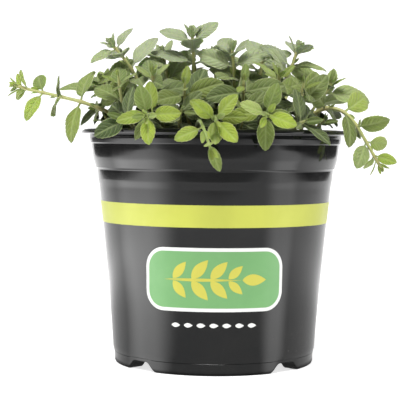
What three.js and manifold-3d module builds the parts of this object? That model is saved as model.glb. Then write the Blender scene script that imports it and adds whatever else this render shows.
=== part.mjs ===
// Potted peppermint: a young mint plant in a black plastic nursery pot.
// Millimetres, +Z up. The origin is the centre of the pot's base, where it stands on a table.
// The side with the printed stripe and the two long runners faces -Y.

import * as THREE from 'three';
import { mergeVertices } from 'three/addons/utils/BufferGeometryUtils.js';
import Module from 'manifold-3d';

const wasm = await Module();
wasm.setup();

// Pot
const RIM_RADIUS = 60;            // outer edge of the rolled rim
const RIM_TOP = 103.5;            // the pot's height
const FOOT_RADIUS = 43;           // outer edge of the foot ring, where the pot stands
const FOOT_INNER_RADIUS = 36.4;
const PAD_RADIUS = 17;            // flat pad in the middle of the base, as low as the foot ring
const FLOOR_RISE = 4;             // height of the raised ring between the two
const FLOOR_SLOPE = 1.4;          // width of the slopes at its edges
const FLOOR = 1.2;                // its thickness
const POT_SEGMENTS = 36;
const NOTCH_TURN = -0.5;          // degrees, the pot stands turned a little
const NOTCH_COUNT = 4;            // drainage arches, between four feet
const NOTCH_TOP_HALF = 4.2;
const NOTCH_FOOT_HALF = 8.6;
const NOTCH_INNER_RADIUS = 30;
const DRAIN_RADIUS = 2.8;
const DRAIN_PLACE = 36.8;         // distance of a drain hole from the axis

// Potting mix
const GAP = 0.3;                  // clearance between pieces that rest on each other
const SOIL_EDGE_RADIUS = 52.9;
const SOIL_EDGE_HEIGHT = 95.5;
const SOIL_CROWN_HEIGHT = 101.5;
const SOIL_SLOPE = 26;            // width of the slope from the crown to the wall
const SOIL_BUMP = 0.45;
const SOIL_SEGMENTS = 24;

// Mint
const STEM_FOOT_RADIUS = 1.15;    // half diagonal of the square stem, at the soil
const STEM_TIP_RADIUS = 0.62;
const STEM_DEPTH = 11;            // how far a stem goes down into the mix
const STEM_STEP = 8;              // length between two joints
const TIP_POINT = 1.6;            // the pointed bud at the stem's end
const PATH_STEPS = 64;            // samples that measure a stem's length
const BLADE_THICKNESS = 0.9;      // at the midrib, running out to the margin
const BLADE_ROWS = [0.2, 0.52, 0.82];
const SMALL_ROWS = [0.28, 0.7];   // rows of a leaf that is shorter than this many millimetres
const SMALL_LENGTH = 14.5;
const YOUNG_ROWS = [0.42];        // and than this
const YOUNG_LENGTH = 8;
const PETIOLE_SHARE = 0.12;       // petiole length as a share of the blade's
const LEAF_CLEARANCE = 1.45;      // between the middle surfaces of two stems' leaves
const OWN_CLEARANCE = 1.0;        // between leaves of one stem
const STEM_CLEARANCE = 1.0;       // from a leaf's middle surface to another stem's side
const OWN_STEM_CLEARANCE = 0.7;
const POT_CLEARANCE = 1.2;
const BASE_SHARE = 0.3;           // part of a blade that may lie close to its own stem's leaves
const SAMPLE_STEP = 1.0;

// A leaf that has no room where it would grow turns, lifts or stays smaller, as on the plant.
const TURNS = [0, 14, -14, 28, -28, 42, -42];
const LIFTS = [0, 14, -14, 28, -28];
const SIZES = [1, 0.86, 0.72];

const rad = THREE.MathUtils.degToRad;
const UP = new THREE.Vector3(0, 0, 1);

// Each stem: its foot in the mix, the points it passes through with its tip last, the number of
// leaf pairs, the bare length above the mix, the turn of the first pair round the stem, counted
// from +X ('side') or +Z ('up'), and the longest leaf. A runner's leaves get smaller to its tip and
// face one side, the lowest shoot ends in large young leaves, and droop is how far the leaves bend
// down, with 1 as usual.
const STEMS = [
  { name: 'runner_left', foot: [-36, -6], via: [[-51, -14, 112.2], [-67, -15, 117], [-78, -15, 119.3],
    [-87, -15, 121.7]], pairs: 6, tips: 2, bare: 11, turn: 35, from: 'up', leaf: 20, shrink: 0.5,
    toward: [0, -1, 0.1] },
  { name: 'runner_right', foot: [34, -8], via: [[48, -14, 113], [57, -17, 110.5], [62.5, -17, 103.5],
    [67, -17, 96], [71.5, -17, 88.5]], pairs: 6, tips: 2, bare: 11, turn: 145, from: 'up',
    leaf: 19, shrink: 0.45, toward: [0, -1, 0.1] },
  { name: 'front_left', foot: [-22, -28], via: [[-25, -46, 109], [-28, -64, 108]],
    pairs: 3, tips: 2, bare: 27, turn: 8, from: 'up', leaf: 12.6, droop: 0.35 },
  { name: 'front_middle', foot: [1, -31], via: [[0, -47, 108], [0, -65, 106.5]],
    pairs: 3, tips: 2, bare: 25, turn: 45, from: 'up', leaf: 12.4, droop: 0.35 },
  { name: 'front_low', foot: [-8, -39], via: [[-7, -52, 106.3], [-5.5, -62, 105], [-3.5, -67, 100],
    [-2, -68.5, 95.5]], pairs: 1, bare: 28, turn: 10, from: 'side', leaf: 12.5, bud: 0.85,
    toward: [0, -1, 0], droop: 0.5 },
  { name: 'front_right', foot: [18, -28], via: [[19.5, -46, 109.5], [20.8, -64, 109]],
    pairs: 3, tips: 2, bare: 27, turn: 68, from: 'up', leaf: 12.8, droop: 0.35 },
  { name: 'low_left', foot: [-32, -32], via: [[-36, -40, 105.8], [-38, -46.4, 108]],
    pairs: 3, bare: 3, turn: 4, from: 'up', leaf: 15 },
  { name: 'low_right', foot: [31, -32], via: [[34, -40, 105], [37, -46, 107]],
    pairs: 3, bare: 3, turn: 0, from: 'up', leaf: 15 },
  { name: 'middle_left_outer', foot: [-36, -20], via: [[-40, -26, 114], [-41.3, -31, 125]],
    pairs: 4, bare: 3, turn: 0, from: 'side', leaf: 15.5 },
  { name: 'middle_left', foot: [-23, -15], via: [[-26, -22, 116], [-27, -29, 127]],
    pairs: 4, tips: 2, bare: 4, turn: 15, from: 'side', leaf: 17 },
  { name: 'middle', foot: [-11, -20], via: [[-13, -32, 113], [-13, -41, 122]],
    pairs: 3, bare: 4, turn: 0, from: 'side', leaf: 17 },
  { name: 'middle_right', foot: [10, -20], via: [[11.5, -31, 114], [11.5, -40, 123.5]],
    pairs: 3, bare: 4, turn: -15, from: 'side', leaf: 17 },
  { name: 'middle_right_inner', foot: [23, -14], via: [[26, -18, 116], [27, -25, 127]],
    pairs: 4, tips: 2, bare: 4, turn: 30, from: 'side', leaf: 17 },
  { name: 'middle_right_outer', foot: [34, -20], via: [[36, -27, 113], [37, -32, 123]],
    pairs: 4, bare: 3, turn: 0, from: 'side', leaf: 15.5 },
  { name: 'upper_left', foot: [-28, -3], via: [[-33, -6, 121], [-38, -8, 131], [-46, -9, 140.5]],
    pairs: 7, tips: 2, bare: 5, turn: 15, from: 'side', leaf: 16, toward: [-0.2, -0.9, 0.1] },
  { name: 'upper_right', foot: [25, -2], via: [[29, -6, 121], [33, -9, 131], [36, -10, 139.5]],
    pairs: 6, tips: 2, bare: 5, turn: 10, from: 'side', leaf: 16.5, toward: [0.2, -0.9, 0.1] },
  { name: 'upper_middle', foot: [-8, -2], via: [[-9.5, -4, 126], [-10.7, -6, 145.5]],
    pairs: 7, tips: 2, bare: 6, turn: 0, from: 'side', leaf: 18, toward: [0, -0.9, 0.1] },
  { name: 'upper_middle_right', foot: [8, -4], via: [[8, -8, 124], [7, -12, 138.5]],
    pairs: 6, tips: 2, bare: 5, turn: 20, from: 'side', leaf: 18, toward: [0, -0.9, 0.1] },
  { name: 'upper_left_inner', foot: [-18, 8], via: [[-21, 5, 123], [-24, 2, 137]],
    pairs: 6, tips: 2, bare: 6, turn: 30, from: 'side', leaf: 18.5, toward: [-0.1, -0.9, 0.1] },
  { name: 'upper_right_inner', foot: [17, 9], via: [[19, 6, 122], [21, 3, 137]],
    pairs: 6, tips: 2, bare: 6, turn: 30, from: 'side', leaf: 18.5, toward: [0.1, -0.9, 0.1] },
  { name: 'shoot_left', foot: [-43, -10], via: [[-48, -17, 108.5]],
    pairs: 2, bare: 2, turn: 20, from: 'side', leaf: 14 },
  { name: 'shoot_right', foot: [42, -11], via: [[47, -18, 108]],
    pairs: 2, bare: 2, turn: 20, from: 'side', leaf: 14 },
  { name: 'low_middle_left', foot: [-15, -36], via: [[-15, -41, 108], [-14, -47, 111.5]],
    pairs: 3, bare: 1, turn: 60, from: 'side', leaf: 13 },
  { name: 'low_middle_right', foot: [10, -38], via: [[11, -42, 108], [11, -48, 111.5]],
    pairs: 3, bare: 1, turn: 30, from: 'side', leaf: 13 },
  { name: 'arch_left', foot: [-43, 2], via: [[-46, 0, 114], [-50, -4, 124]],
    pairs: 3, tips: 2, bare: 8, turn: 10, from: 'side', leaf: 21, droop: 1.3, toward: [-0.2, -0.8, 0.5] },
  { name: 'arch_right', foot: [43, 2], via: [[46, 0, 114], [51, -4, 124]],
    pairs: 3, tips: 2, bare: 8, turn: -10, from: 'side', leaf: 21, droop: 1.3, toward: [0.2, -0.8, 0.5] },
  { name: 'back_left_outer', foot: [-38, 12], via: [[-46, 15, 114], [-54, 18, 124]],
    pairs: 4, bare: 5, turn: 0, from: 'side', leaf: 17 },
  { name: 'back_right_outer', foot: [38, 12], via: [[45, 15, 114], [52, 19, 123]],
    pairs: 4, bare: 5, turn: 0, from: 'side', leaf: 17 },
  { name: 'back_left', foot: [-27, 26], via: [[-32, 33, 116], [-37, 40, 127]],
    pairs: 4, bare: 5, turn: 30, from: 'side', leaf: 18.5 },
  { name: 'back_right', foot: [27, 26], via: [[32, 33, 116], [36, 41, 126]],
    pairs: 4, bare: 5, turn: 60, from: 'side', leaf: 18.5 },
  { name: 'back_middle', foot: [0, 18], via: [[0, 19, 123], [-1, 20, 138]],
    pairs: 6, tips: 2, bare: 6, turn: 45, from: 'side', leaf: 19 },
  { name: 'back_middle_left', foot: [-12, 33], via: [[-14, 41, 116], [-16, 47, 127]],
    pairs: 4, bare: 5, turn: 0, from: 'side', leaf: 18 },
  { name: 'back_middle_right', foot: [13, 33], via: [[15, 42, 116], [17, 48, 125]],
    pairs: 4, bare: 5, turn: 20, from: 'side', leaf: 18 },
  { name: 'back_trailing', foot: [-1, 40], via: [[-1, 52, 107], [-2, 63, 105], [-3, 71, 98]],
    pairs: 4, bare: 10, turn: 0, from: 'side', leaf: 15 },
];

// The same seeded numbers from 0 to 1 on every run.
function seeded(seed) {
  let state = seed >>> 0;
  return () => {
    state = (state + 0x6d2b79f5) >>> 0;
    let t = state;
    t = Math.imul(t ^ (t >>> 15), t | 1);
    t ^= t + Math.imul(t ^ (t >>> 7), t | 61);
    return ((t ^ (t >>> 14)) >>> 0) / 4294967296;
  };
}

// Solids and meshes

function solidFrom(geometry) {
  const bare = geometry.clone();
  bare.deleteAttribute('normal');
  bare.deleteAttribute('uv');
  const merged = mergeVertices(bare, 1e-4);
  const kept = [];
  const index = merged.index.array;
  for (let i = 0; i < index.length; i += 3) {
    const [a, b, c] = index.slice(i, i + 3);
    if (a !== b && b !== c && c !== a) kept.push(a, b, c);
  }
  return new wasm.Manifold(new wasm.Mesh({
    numProp: 3,
    vertProperties: new Float32Array(merged.attributes.position.array),
    triVerts: new Uint32Array(kept),
  }));
}

function meshFrom(name, solid, material) {
  const { numProp, vertProperties, triVerts } = solid.getMesh();
  const count = vertProperties.length / numProp;
  const positions = new Float32Array(count * 3);
  for (let i = 0; i < count; i++) {
    positions.set(vertProperties.subarray(i * numProp, i * numProp + 3), i * 3);
  }
  const geometry = new THREE.BufferGeometry();
  geometry.setAttribute('position', new THREE.BufferAttribute(positions, 3));
  geometry.setIndex(new THREE.BufferAttribute(new Uint32Array(triVerts), 1));
  geometry.computeVertexNormals();
  const mesh = new THREE.Mesh(geometry, material);
  mesh.name = name;
  return mesh;
}

// A closed profile of [radius, height] points turned round the Z axis.
function turned(profile, segments) {
  const points = profile.map(([r, z]) => new THREE.Vector2(r, z));
  const geometry = new THREE.LatheGeometry(points, segments);
  geometry.rotateX(Math.PI / 2);
  return geometry;
}

// A closed skin over rings of points, all with the same count; a ring may be a single point.
function skinned(rings) {
  const positions = [];
  const corner = (p) => positions.push(p.x, p.y, p.z);
  const triangle = (a, b, c) => [a, b, c].forEach(corner);
  const sides = Math.max(...rings.map((ring) => ring.length));
  const at = (ring, i) => (ring.length === 1 ? ring[0] : ring[i % sides]);
  for (let k = 0; k + 1 < rings.length; k++) {
    for (let i = 0; i < sides; i++) {
      const [a, b] = [at(rings[k], i), at(rings[k], i + 1)];
      const [c, d] = [at(rings[k + 1], i), at(rings[k + 1], i + 1)];
      if (a !== b) triangle(a, b, d);
      if (c !== d) triangle(a, d, c);
    }
  }
  const first = rings[0];
  const last = rings[rings.length - 1];
  for (let i = 1; i + 1 < first.length; i++) triangle(first[0], first[i + 1], first[i]);
  for (let i = 1; i + 1 < last.length; i++) triangle(last[0], last[i], last[i + 1]);
  const geometry = new THREE.BufferGeometry();
  geometry.setAttribute('position', new THREE.BufferAttribute(new Float32Array(positions), 3));
  return geometry;
}

// Pot

// The outer wall from the base up: rounded foot, base band, tapered body, two nesting steps, rim.
const OUTER_WALL = [
  [FOOT_RADIUS, 0], [44.1, 1], [44.6, 4.4], [45.15, 5.2], [46.7, 28], [49.4, 59], [53, 86.1],
  [53.6, 86.5], [54.7, 92.2], [55.2, 97.1], [55.9, 97.6], [56.3, 101.1],
  [58.8, 101.2], [RIM_RADIUS, 101.9], [58.2, 103.1], [56.6, RIM_TOP],
];
const INNER_WALL = [
  [55.2, 102.6], [53.7, 96.6], [50.1, 73], [43.3, 4.4], [42.5, FLOOR],
];

// Radius of the inner wall at a height, between the profile's points.
function innerRadius(z) {
  for (let i = 0; i + 1 < INNER_WALL.length; i++) {
    const [r1, z1] = INNER_WALL[i];
    const [r2, z2] = INNER_WALL[i + 1];
    if (z <= z1 && z >= z2) return r2 + (r1 - r2) * (z - z2) / (z1 - z2);
  }
  return INNER_WALL[0][0];
}

// Radius of the outer wall at a height; the rim reaches furthest.
function outerRadius(z) {
  for (let i = 0; i + 1 < OUTER_WALL.length; i++) {
    const [r1, z1] = OUTER_WALL[i];
    const [r2, z2] = OUTER_WALL[i + 1];
    if (z >= z1 && z <= z2) return r1 + (r2 - r1) * (z - z1) / (z2 - z1);
  }
  return RIM_RADIUS;
}

// The arch between two feet, as a trapezoid run along a radius, grown by a margin.
function notchBlock(index, grown) {
  const bottom = -1;
  const spread = (NOTCH_FOOT_HALF - NOTCH_TOP_HALF) / FLOOR_RISE;
  const top = FLOOR_RISE + grown;
  const topHalf = NOTCH_TOP_HALF + grown * 0.7;
  const bottomHalf = topHalf + (top - bottom) * spread;
  const outline = new THREE.Shape([
    new THREE.Vector2(-bottomHalf, bottom), new THREE.Vector2(bottomHalf, bottom),
    new THREE.Vector2(topHalf, top), new THREE.Vector2(-topHalf, top),
  ]);
  const inner = NOTCH_INNER_RADIUS - grown;
  const geometry = new THREE.ExtrudeGeometry(outline, { depth: RIM_RADIUS - inner, bevelEnabled: false });
  geometry.translate(0, 0, inner);
  geometry.rotateX(Math.PI / 2);
  geometry.rotateZ(rad(NOTCH_TURN + 45 + index * 360 / NOTCH_COUNT));
  return solidFrom(geometry);
}

function drainHole(index) {
  const geometry = new THREE.CylinderGeometry(DRAIN_RADIUS, DRAIN_RADIUS, 12, 10);
  geometry.rotateX(Math.PI / 2);
  geometry.translate(0, -DRAIN_PLACE, FLOOR_RISE);
  geometry.rotateZ(rad(NOTCH_TURN + 45 + index * 360 / NOTCH_COUNT));
  return solidFrom(geometry);
}

const NOTCHES = Array.from({ length: NOTCH_COUNT }, (_, i) => i);

// The underside of the base from the axis out: the pad, the raised ring and the foot ring's edge.
const UNDERSIDE = [
  [0, 0], [PAD_RADIUS, 0], [PAD_RADIUS + FLOOR_SLOPE, FLOOR_RISE],
  [FOOT_INNER_RADIUS - FLOOR_SLOPE, FLOOR_RISE], [FOOT_INNER_RADIUS, 0],
];

// The same steps inside the pot, from the axis out, a floor's thickness and a gap higher.
function floorInside(gap) {
  const lift = FLOOR + gap;
  const shift = [0, -lift, -lift, lift, lift];
  return UNDERSIDE.map(([r, z], i) => [r + shift[i], z + lift]);
}

function potSolid() {
  const outside = [...UNDERSIDE, ...OUTER_WALL];
  const inside = [...INNER_WALL, ...floorInside(0).reverse()];
  let pot = solidFrom(turned([...outside, ...inside], POT_SEGMENTS));
  const filled = solidFrom(turned([...outside, [0, RIM_TOP]], POT_SEGMENTS));
  for (const i of NOTCHES) pot = pot.add(notchBlock(i, FLOOR).intersect(filled));
  for (const i of NOTCHES) pot = pot.subtract(notchBlock(i, 0)).subtract(drainHole(i));
  return pot;
}

// Potting mix

function smooth(t) {
  const c = Math.min(1, Math.max(0, t));
  return c * c * (3 - 2 * c);
}

// Height of the mix at a place: a low crown that falls to the wall, with small lumps.
function soilHeight(x, y) {
  const r = Math.hypot(x, y);
  const rise = smooth((SOIL_EDGE_RADIUS - r) / SOIL_SLOPE);
  const lumps = Math.sin(0.43 * x + 1.3) * Math.cos(0.51 * y) + 0.6 * Math.sin(0.93 * x - 0.71 * y);
  return SOIL_EDGE_HEIGHT + (SOIL_CROWN_HEIGHT - SOIL_EDGE_HEIGHT) * rise + SOIL_BUMP * lumps;
}

function soilSolid(stems) {
  const wall = [4.4, 73].map((z) => [innerRadius(z) - GAP, z]);
  const rings = [45, 34, 21, 9].map((r) => [r, SOIL_EDGE_HEIGHT]);
  const profile = [...floorInside(GAP), [innerRadius(FLOOR) - GAP, FLOOR + GAP], ...wall,
    [SOIL_EDGE_RADIUS, SOIL_EDGE_HEIGHT], ...rings, [0, SOIL_EDGE_HEIGHT]];
  const geometry = turned(profile, SOIL_SEGMENTS);
  const at = geometry.attributes.position;
  for (let i = 0; i < at.count; i++) {
    if (at.getZ(i) > SOIL_EDGE_HEIGHT - 1) at.setZ(i, soilHeight(at.getX(i), at.getY(i)));
  }
  let soil = solidFrom(geometry);
  for (const i of NOTCHES) soil = soil.subtract(notchBlock(i, FLOOR + GAP));
  for (const stem of stems) soil = soil.subtract(stemHole(stem));
  return soil;
}

// A plain round hole that a stem stands in.
function stemHole(stem) {
  const radius = STEM_FOOT_RADIUS + 2 * GAP;
  const top = stem.ground + 6;
  const bottom = stem.ground - STEM_DEPTH - GAP;
  const geometry = new THREE.CylinderGeometry(radius, radius, top - bottom, 6);
  geometry.rotateX(Math.PI / 2);
  geometry.translate(stem.foot[0], stem.foot[1], (top + bottom) / 2);
  return solidFrom(geometry);
}

// Stems

// A smooth line that rises straight up from the first point and runs through the others, each span
// a Catmull-Rom curve, sampled finely.
function smoothLine(points) {
  const last = points.length - 1;
  const [first, next] = points.map((p) => new THREE.Vector3(...p));
  const before = next.clone().addScaledVector(UP, -2 * first.distanceTo(next)).toArray();
  return Array.from({ length: PATH_STEPS + 1 }, (_, i) => {
    const place = last * i / PATH_STEPS;
    const k = Math.min(last - 1, Math.floor(place));
    const t = place - k;
    const a = k === 0 ? before : points[k - 1];
    const [b, c, d] = [points[k], points[k + 1], points[Math.min(last, k + 2)]];
    return new THREE.Vector3(...[0, 1, 2].map((j) => 0.5 * (2 * b[j] + (c[j] - a[j]) * t
      + (2 * a[j] - 5 * b[j] + 4 * c[j] - d[j]) * t * t
      + (3 * b[j] - a[j] - 3 * c[j] + d[j]) * t * t * t)));
  });
}

// Points along a line at even steps, near to the given length.
function evenPoints(line, step) {
  const reach = [0];
  for (let i = 1; i < line.length; i++) reach.push(reach[i - 1] + line[i].distanceTo(line[i - 1]));
  const total = reach[reach.length - 1];
  const count = Math.ceil(total / step);
  let i = 1;
  return Array.from({ length: count + 1 }, (_, k) => {
    const distance = total * k / count;
    while (i < line.length - 1 && reach[i] < distance) i++;
    const t = (distance - reach[i - 1]) / (reach[i] - reach[i - 1]);
    return new THREE.Vector3().lerpVectors(line[i - 1], line[i], t);
  });
}

// A stem's joints, straight down in the mix and curved above it, and its direction at each.
function grownStem(spec, index) {
  const ground = soilHeight(...spec.foot);
  const [x, y] = spec.foot;
  const above = evenPoints(smoothLine([[x, y, ground + 1], ...spec.via]), STEM_STEP);
  const joints = [new THREE.Vector3(x, y, ground - STEM_DEPTH), ...above];
  const last = joints.length - 1;
  const aims = joints.map((_, i) => (
    new THREE.Vector3().subVectors(joints[Math.min(last, i + 1)], joints[Math.max(0, i - 1)]).normalize()));
  const reach = [0];
  for (let i = 1; i <= last; i++) reach.push(reach[i - 1] + joints[i].distanceTo(joints[i - 1]));
  return { ...spec, index, ground, joints, aims, reach, length: reach[last] };
}

// Point and direction of a stem at a length from its lower end.
function alongStem(stem, distance) {
  let i = 1;
  while (i < stem.reach.length - 1 && stem.reach[i] < distance) i++;
  const t = (distance - stem.reach[i - 1]) / (stem.reach[i] - stem.reach[i - 1]);
  return {
    point: new THREE.Vector3().lerpVectors(stem.joints[i - 1], stem.joints[i], t),
    along: new THREE.Vector3().lerpVectors(stem.aims[i - 1], stem.aims[i], t).normalize(),
  };
}

function stemRadius(stem, distance) {
  return STEM_FOOT_RADIUS + (STEM_TIP_RADIUS - STEM_FOOT_RADIUS) * distance / stem.length;
}

// Two directions square to the stem: the one nearest to the stem's reference, and the one across.
function squareTo(stem, along) {
  const reference = stem.from === 'up' ? UP : new THREE.Vector3(1, 0, 0);
  const ahead = reference.clone().addScaledVector(along, -reference.dot(along)).normalize();
  return [ahead, new THREE.Vector3().crossVectors(along, ahead)];
}

// A square stem with its corners between the leaves, pointed at the tip.
function stemSolid(stem) {
  const rings = stem.joints.map((joint, k) => {
    const along = stem.aims[k];
    const [ahead, across] = squareTo(stem, along);
    const r = stemRadius(stem, stem.reach[k]);
    return [45, 135, 225, 315].map((corner) => {
      const turn = rad(stem.turn + corner);
      return joint.clone()
        .addScaledVector(ahead, r * Math.cos(turn))
        .addScaledVector(across, r * Math.sin(turn));
    });
  });
  const { point, along } = alongStem(stem, stem.length);
  rings.push([point.addScaledVector(along, TIP_POINT)]);
  return solidFrom(skinned(rings));
}

// Leaves

// Where the leaves of a stem grow: crossed pairs, closer together towards the tip, and the small
// pairs of the tip itself. share runs from 0 at the lowest pair to 1 at the tip.
function leafBuds(stem) {
  const buds = [];
  const start = STEM_DEPTH + stem.bare;
  for (let k = 0; k < stem.pairs; k++) {
    const share = k / stem.pairs;
    const distance = start + (stem.length - start) * (1 - (1 - share) ** 1.25);
    for (const side of [0, 180]) {
      buds.push({ distance, share, turn: stem.turn + 90 * k + side, young: false });
    }
  }
  for (let k = 0; k < (stem.tips ?? 1); k++) {
    for (const side of [0, 180]) {
      const turn = stem.turn + 90 * (stem.pairs + k) + side;
      buds.push({ distance: stem.length - 3 + 1.1 * k, share: 1, turn, young: true, order: k });
    }
  }
  return buds.map((bud, i) => ({ ...bud, number: i }));
}

// The side that a stem's leaves turn their faces to: outwards from the pot's axis, and up.
function lightSide(stem, point) {
  if (stem.toward) return new THREE.Vector3(...stem.toward);
  return new THREE.Vector3(point.x, point.y, 0).divideScalar(Math.max(30, Math.hypot(point.x, point.y)));
}

// One leaf's place and shape, with the turn, lift and size that it takes for want of room.
function leafAt(stem, bud, turnBy, liftBy, scale) {
  const draw = seeded(stem.index * 1000 + bud.number * 7 + 11);
  const wobble = (range) => (draw() * 2 - 1) * range;
  const { point, along } = alongStem(stem, bud.distance);
  const [ahead, across] = squareTo(stem, along);
  const { share, young } = bud;
  const turn = rad(bud.turn + wobble(9) + turnBy);
  const pitch = rad((young ? 46 - 18 * bud.order : 84 - 34 * share) + wobble(8) - liftBy);
  const oldSize = (0.88 + 0.6 * share - 0.95 * share ** 2) * (1 - (stem.shrink ?? 0) * share);
  const youngSize = (stem.bud ?? 0.45) * (1 - 0.27 * bud.order) * (1 - (stem.shrink ?? 0) / 2);
  const length = stem.leaf * (young ? youngSize : oldSize) * (1 + wobble(0.08)) * scale;
  const width = length * ((young ? 0.48 : 0.6) + wobble(0.04));
  const droop = rad((young ? 14 : 48 - 22 * share) + wobble(12)) * (stem.droop ?? 1);
  const out = ahead.clone().multiplyScalar(Math.cos(turn)).addScaledVector(across, Math.sin(turn));
  const ray = along.clone().multiplyScalar(Math.cos(pitch)).addScaledVector(out, Math.sin(pitch));
  const face = along.clone().multiplyScalar(0.6).addScaledVector(UP, young ? 0.1 : 0.3);
  face.addScaledVector(lightSide(stem, point), young ? 0.2 : 0.85);
  face.addScaledVector(ray, -face.dot(ray)).normalize().applyAxisAngle(ray, rad(wobble(young ? 8 : 24)));
  const side = new THREE.Vector3().crossVectors(ray, face);
  const fold = rad(13 + wobble(5));
  const petiole = length * PETIOLE_SHARE + 1;
  return { root: point, ray, face, side, length, width, droop, fold, petiole };
}

// Half width of the blade, 1 at its widest, from its base at 0 to its tip at 1.
function bladeShape(u) {
  return u ** 0.6 * (1 - u) ** 0.75 / 0.3957;
}

// A point of the leaf: a is the length along its midrib from the root, v runs from -1 to 1 across.
function leafPoint(leaf, a, halfWidth, v, lift) {
  const whole = leaf.petiole + leaf.length;
  const bend = leaf.droop * a / whole;
  const arc = whole / leaf.droop;
  const normal = leaf.face.clone().multiplyScalar(Math.cos(bend)).addScaledVector(leaf.ray, Math.sin(bend));
  return leaf.root.clone()
    .addScaledVector(leaf.ray, arc * Math.sin(bend))
    .addScaledVector(leaf.face, -arc * (1 - Math.cos(bend)))
    .addScaledVector(leaf.side, halfWidth * v * Math.cos(leaf.fold))
    .addScaledVector(normal, halfWidth * Math.abs(v) * Math.sin(leaf.fold) + lift);
}

function bladeRows(length) {
  if (length < YOUNG_LENGTH) return YOUNG_ROWS;
  return length < SMALL_LENGTH ? SMALL_ROWS : BLADE_ROWS;
}

// The leaf as a solid: one margin, the rib above, the other margin and the rib below at each row.
function leafSolid(leaf) {
  const rows = bladeRows(leaf.length);
  const half = BLADE_THICKNESS / 2;
  const ring = (a, halfWidth) => [[-1, 0], [0, half], [1, 0], [0, -half]].map(([v, lift]) => (
    leafPoint(leaf, a, halfWidth, v, lift)));
  const rings = [[leafPoint(leaf, 0, 0, 0, 0)]];
  for (const u of rows) {
    rings.push(ring(leaf.petiole + u * leaf.length, leaf.width / 2 * bladeShape(u)));
  }
  rings.push([leafPoint(leaf, leaf.petiole + leaf.length, 0, 0, 0)]);
  return solidFrom(skinned(rings));
}

// Points all over a blade's middle surface, with their share of the length.
function bladeSamples(leaf) {
  const samples = [];
  const rows = Math.ceil(leaf.length / SAMPLE_STEP);
  for (let i = 0; i <= rows; i++) {
    const u = i / rows;
    const halfWidth = leaf.width / 2 * bladeShape(u);
    const columns = Math.max(1, Math.ceil(2 * halfWidth / SAMPLE_STEP));
    for (let j = 0; j <= columns; j++) {
      const point = leafPoint(leaf, leaf.petiole + u * leaf.length, halfWidth, 2 * j / columns - 1, 0);
      samples.push({ point, share: u });
    }
  }
  return samples;
}

// Space that is already taken, kept in cells so that neighbours are found quickly.
class Space {
  constructor(cell) {
    this.cell = cell;
    this.cells = new Map();
  }

  key(x, y, z) {
    return x * 73856093 ^ y * 19349663 ^ z * 83492791;
  }

  place(point) {
    return [point.x, point.y, point.z].map((c) => Math.floor(c / this.cell));
  }

  add(sample) {
    const key = this.key(...this.place(sample.point));
    if (!this.cells.has(key)) this.cells.set(key, []);
    this.cells.get(key).push(sample);
  }

  some(point, test) {
    const [x, y, z] = this.place(point);
    for (let i = -1; i <= 1; i++) {
      for (let j = -1; j <= 1; j++) {
        for (let k = -1; k <= 1; k++) {
          const cell = this.cells.get(this.key(x + i, y + j, z + k));
          if (cell && cell.some(test)) return true;
        }
      }
    }
    return false;
  }
}

// True where a blade's point would touch the mix, the pot's wall or its rim.
function meetsPot(point) {
  const r = Math.hypot(point.x, point.y);
  const z = Math.min(point.z, RIM_TOP);
  if (point.z > RIM_TOP + LEAF_CLEARANCE && r > SOIL_EDGE_RADIUS) return false;
  if (r < innerRadius(z) - POT_CLEARANCE) return point.z < soilHeight(point.x, point.y) + POT_CLEARANCE;
  return r < outerRadius(z) + POT_CLEARANCE;
}

function hasRoom(stem, samples, space) {
  return !samples.some(({ point, share }) => {
    if (meetsPot(point)) return true;
    return space.some(point, (other) => {
      const own = other.stem === stem.index;
      if (own && (share < BASE_SHARE || other.share < BASE_SHARE)) return false;
      const distance = point.distanceTo(other.point);
      if (other.radius) return distance < other.radius + (own ? OWN_STEM_CLEARANCE : STEM_CLEARANCE);
      return distance < (own ? OWN_CLEARANCE : LEAF_CLEARANCE);
    });
  });
}

// The first way of growing that has room, or none.
function settledLeaf(stem, bud, space) {
  for (const scale of SIZES) {
    for (const liftBy of LIFTS) {
      for (const turnBy of TURNS) {
        const leaf = leafAt(stem, bud, turnBy, liftBy, scale);
        const samples = bladeSamples(leaf);
        if (!hasRoom(stem, samples, space)) continue;
        for (const { point, share } of samples) space.add({ point, share, stem: stem.index });
        return leaf;
      }
    }
  }
  return null;
}

// All stems first, then the leaves of each stem from its tip down.
function grownPlant() {
  const stems = STEMS.map(grownStem);
  const space = new Space(STEM_FOOT_RADIUS + LEAF_CLEARANCE);
  for (const stem of stems) {
    for (let d = STEM_DEPTH; d <= stem.length; d += SAMPLE_STEP) {
      const { point } = alongStem(stem, d);
      space.add({ point, share: 1, stem: stem.index, radius: stemRadius(stem, d) });
    }
  }
  for (const stem of stems) {
    stem.leaves = [];
    for (const bud of leafBuds(stem).reverse()) {
      const leaf = settledLeaf(stem, bud, space);
      if (leaf) stem.leaves.push(leaf);
    }
  }
  return stems;
}

function leafyStem(stem) {
  let whole = stemSolid(stem);
  for (const leaf of stem.leaves) whole = whole.add(leafSolid(leaf));
  return whole;
}

// Materials
const potPlastic = new THREE.MeshStandardMaterial({ color: 0x1c1d1e, roughness: 0.42, metalness: 0 });
const pottingMix = new THREE.MeshStandardMaterial({ color: 0x1d1510, roughness: 0.95, metalness: 0 });
const mintGreen = new THREE.MeshStandardMaterial({ color: 0x6d8f45, roughness: 0.55, metalness: 0 });

const plant = grownPlant();
const group = new THREE.Group();
group.add(meshFrom('pot', potSolid(), potPlastic));
group.add(meshFrom('potting_mix', soilSolid(plant), pottingMix));
for (const stem of plant) group.add(meshFrom(`mint_${stem.name}`, leafyStem(stem), mintGreen));

export default group;
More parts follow.
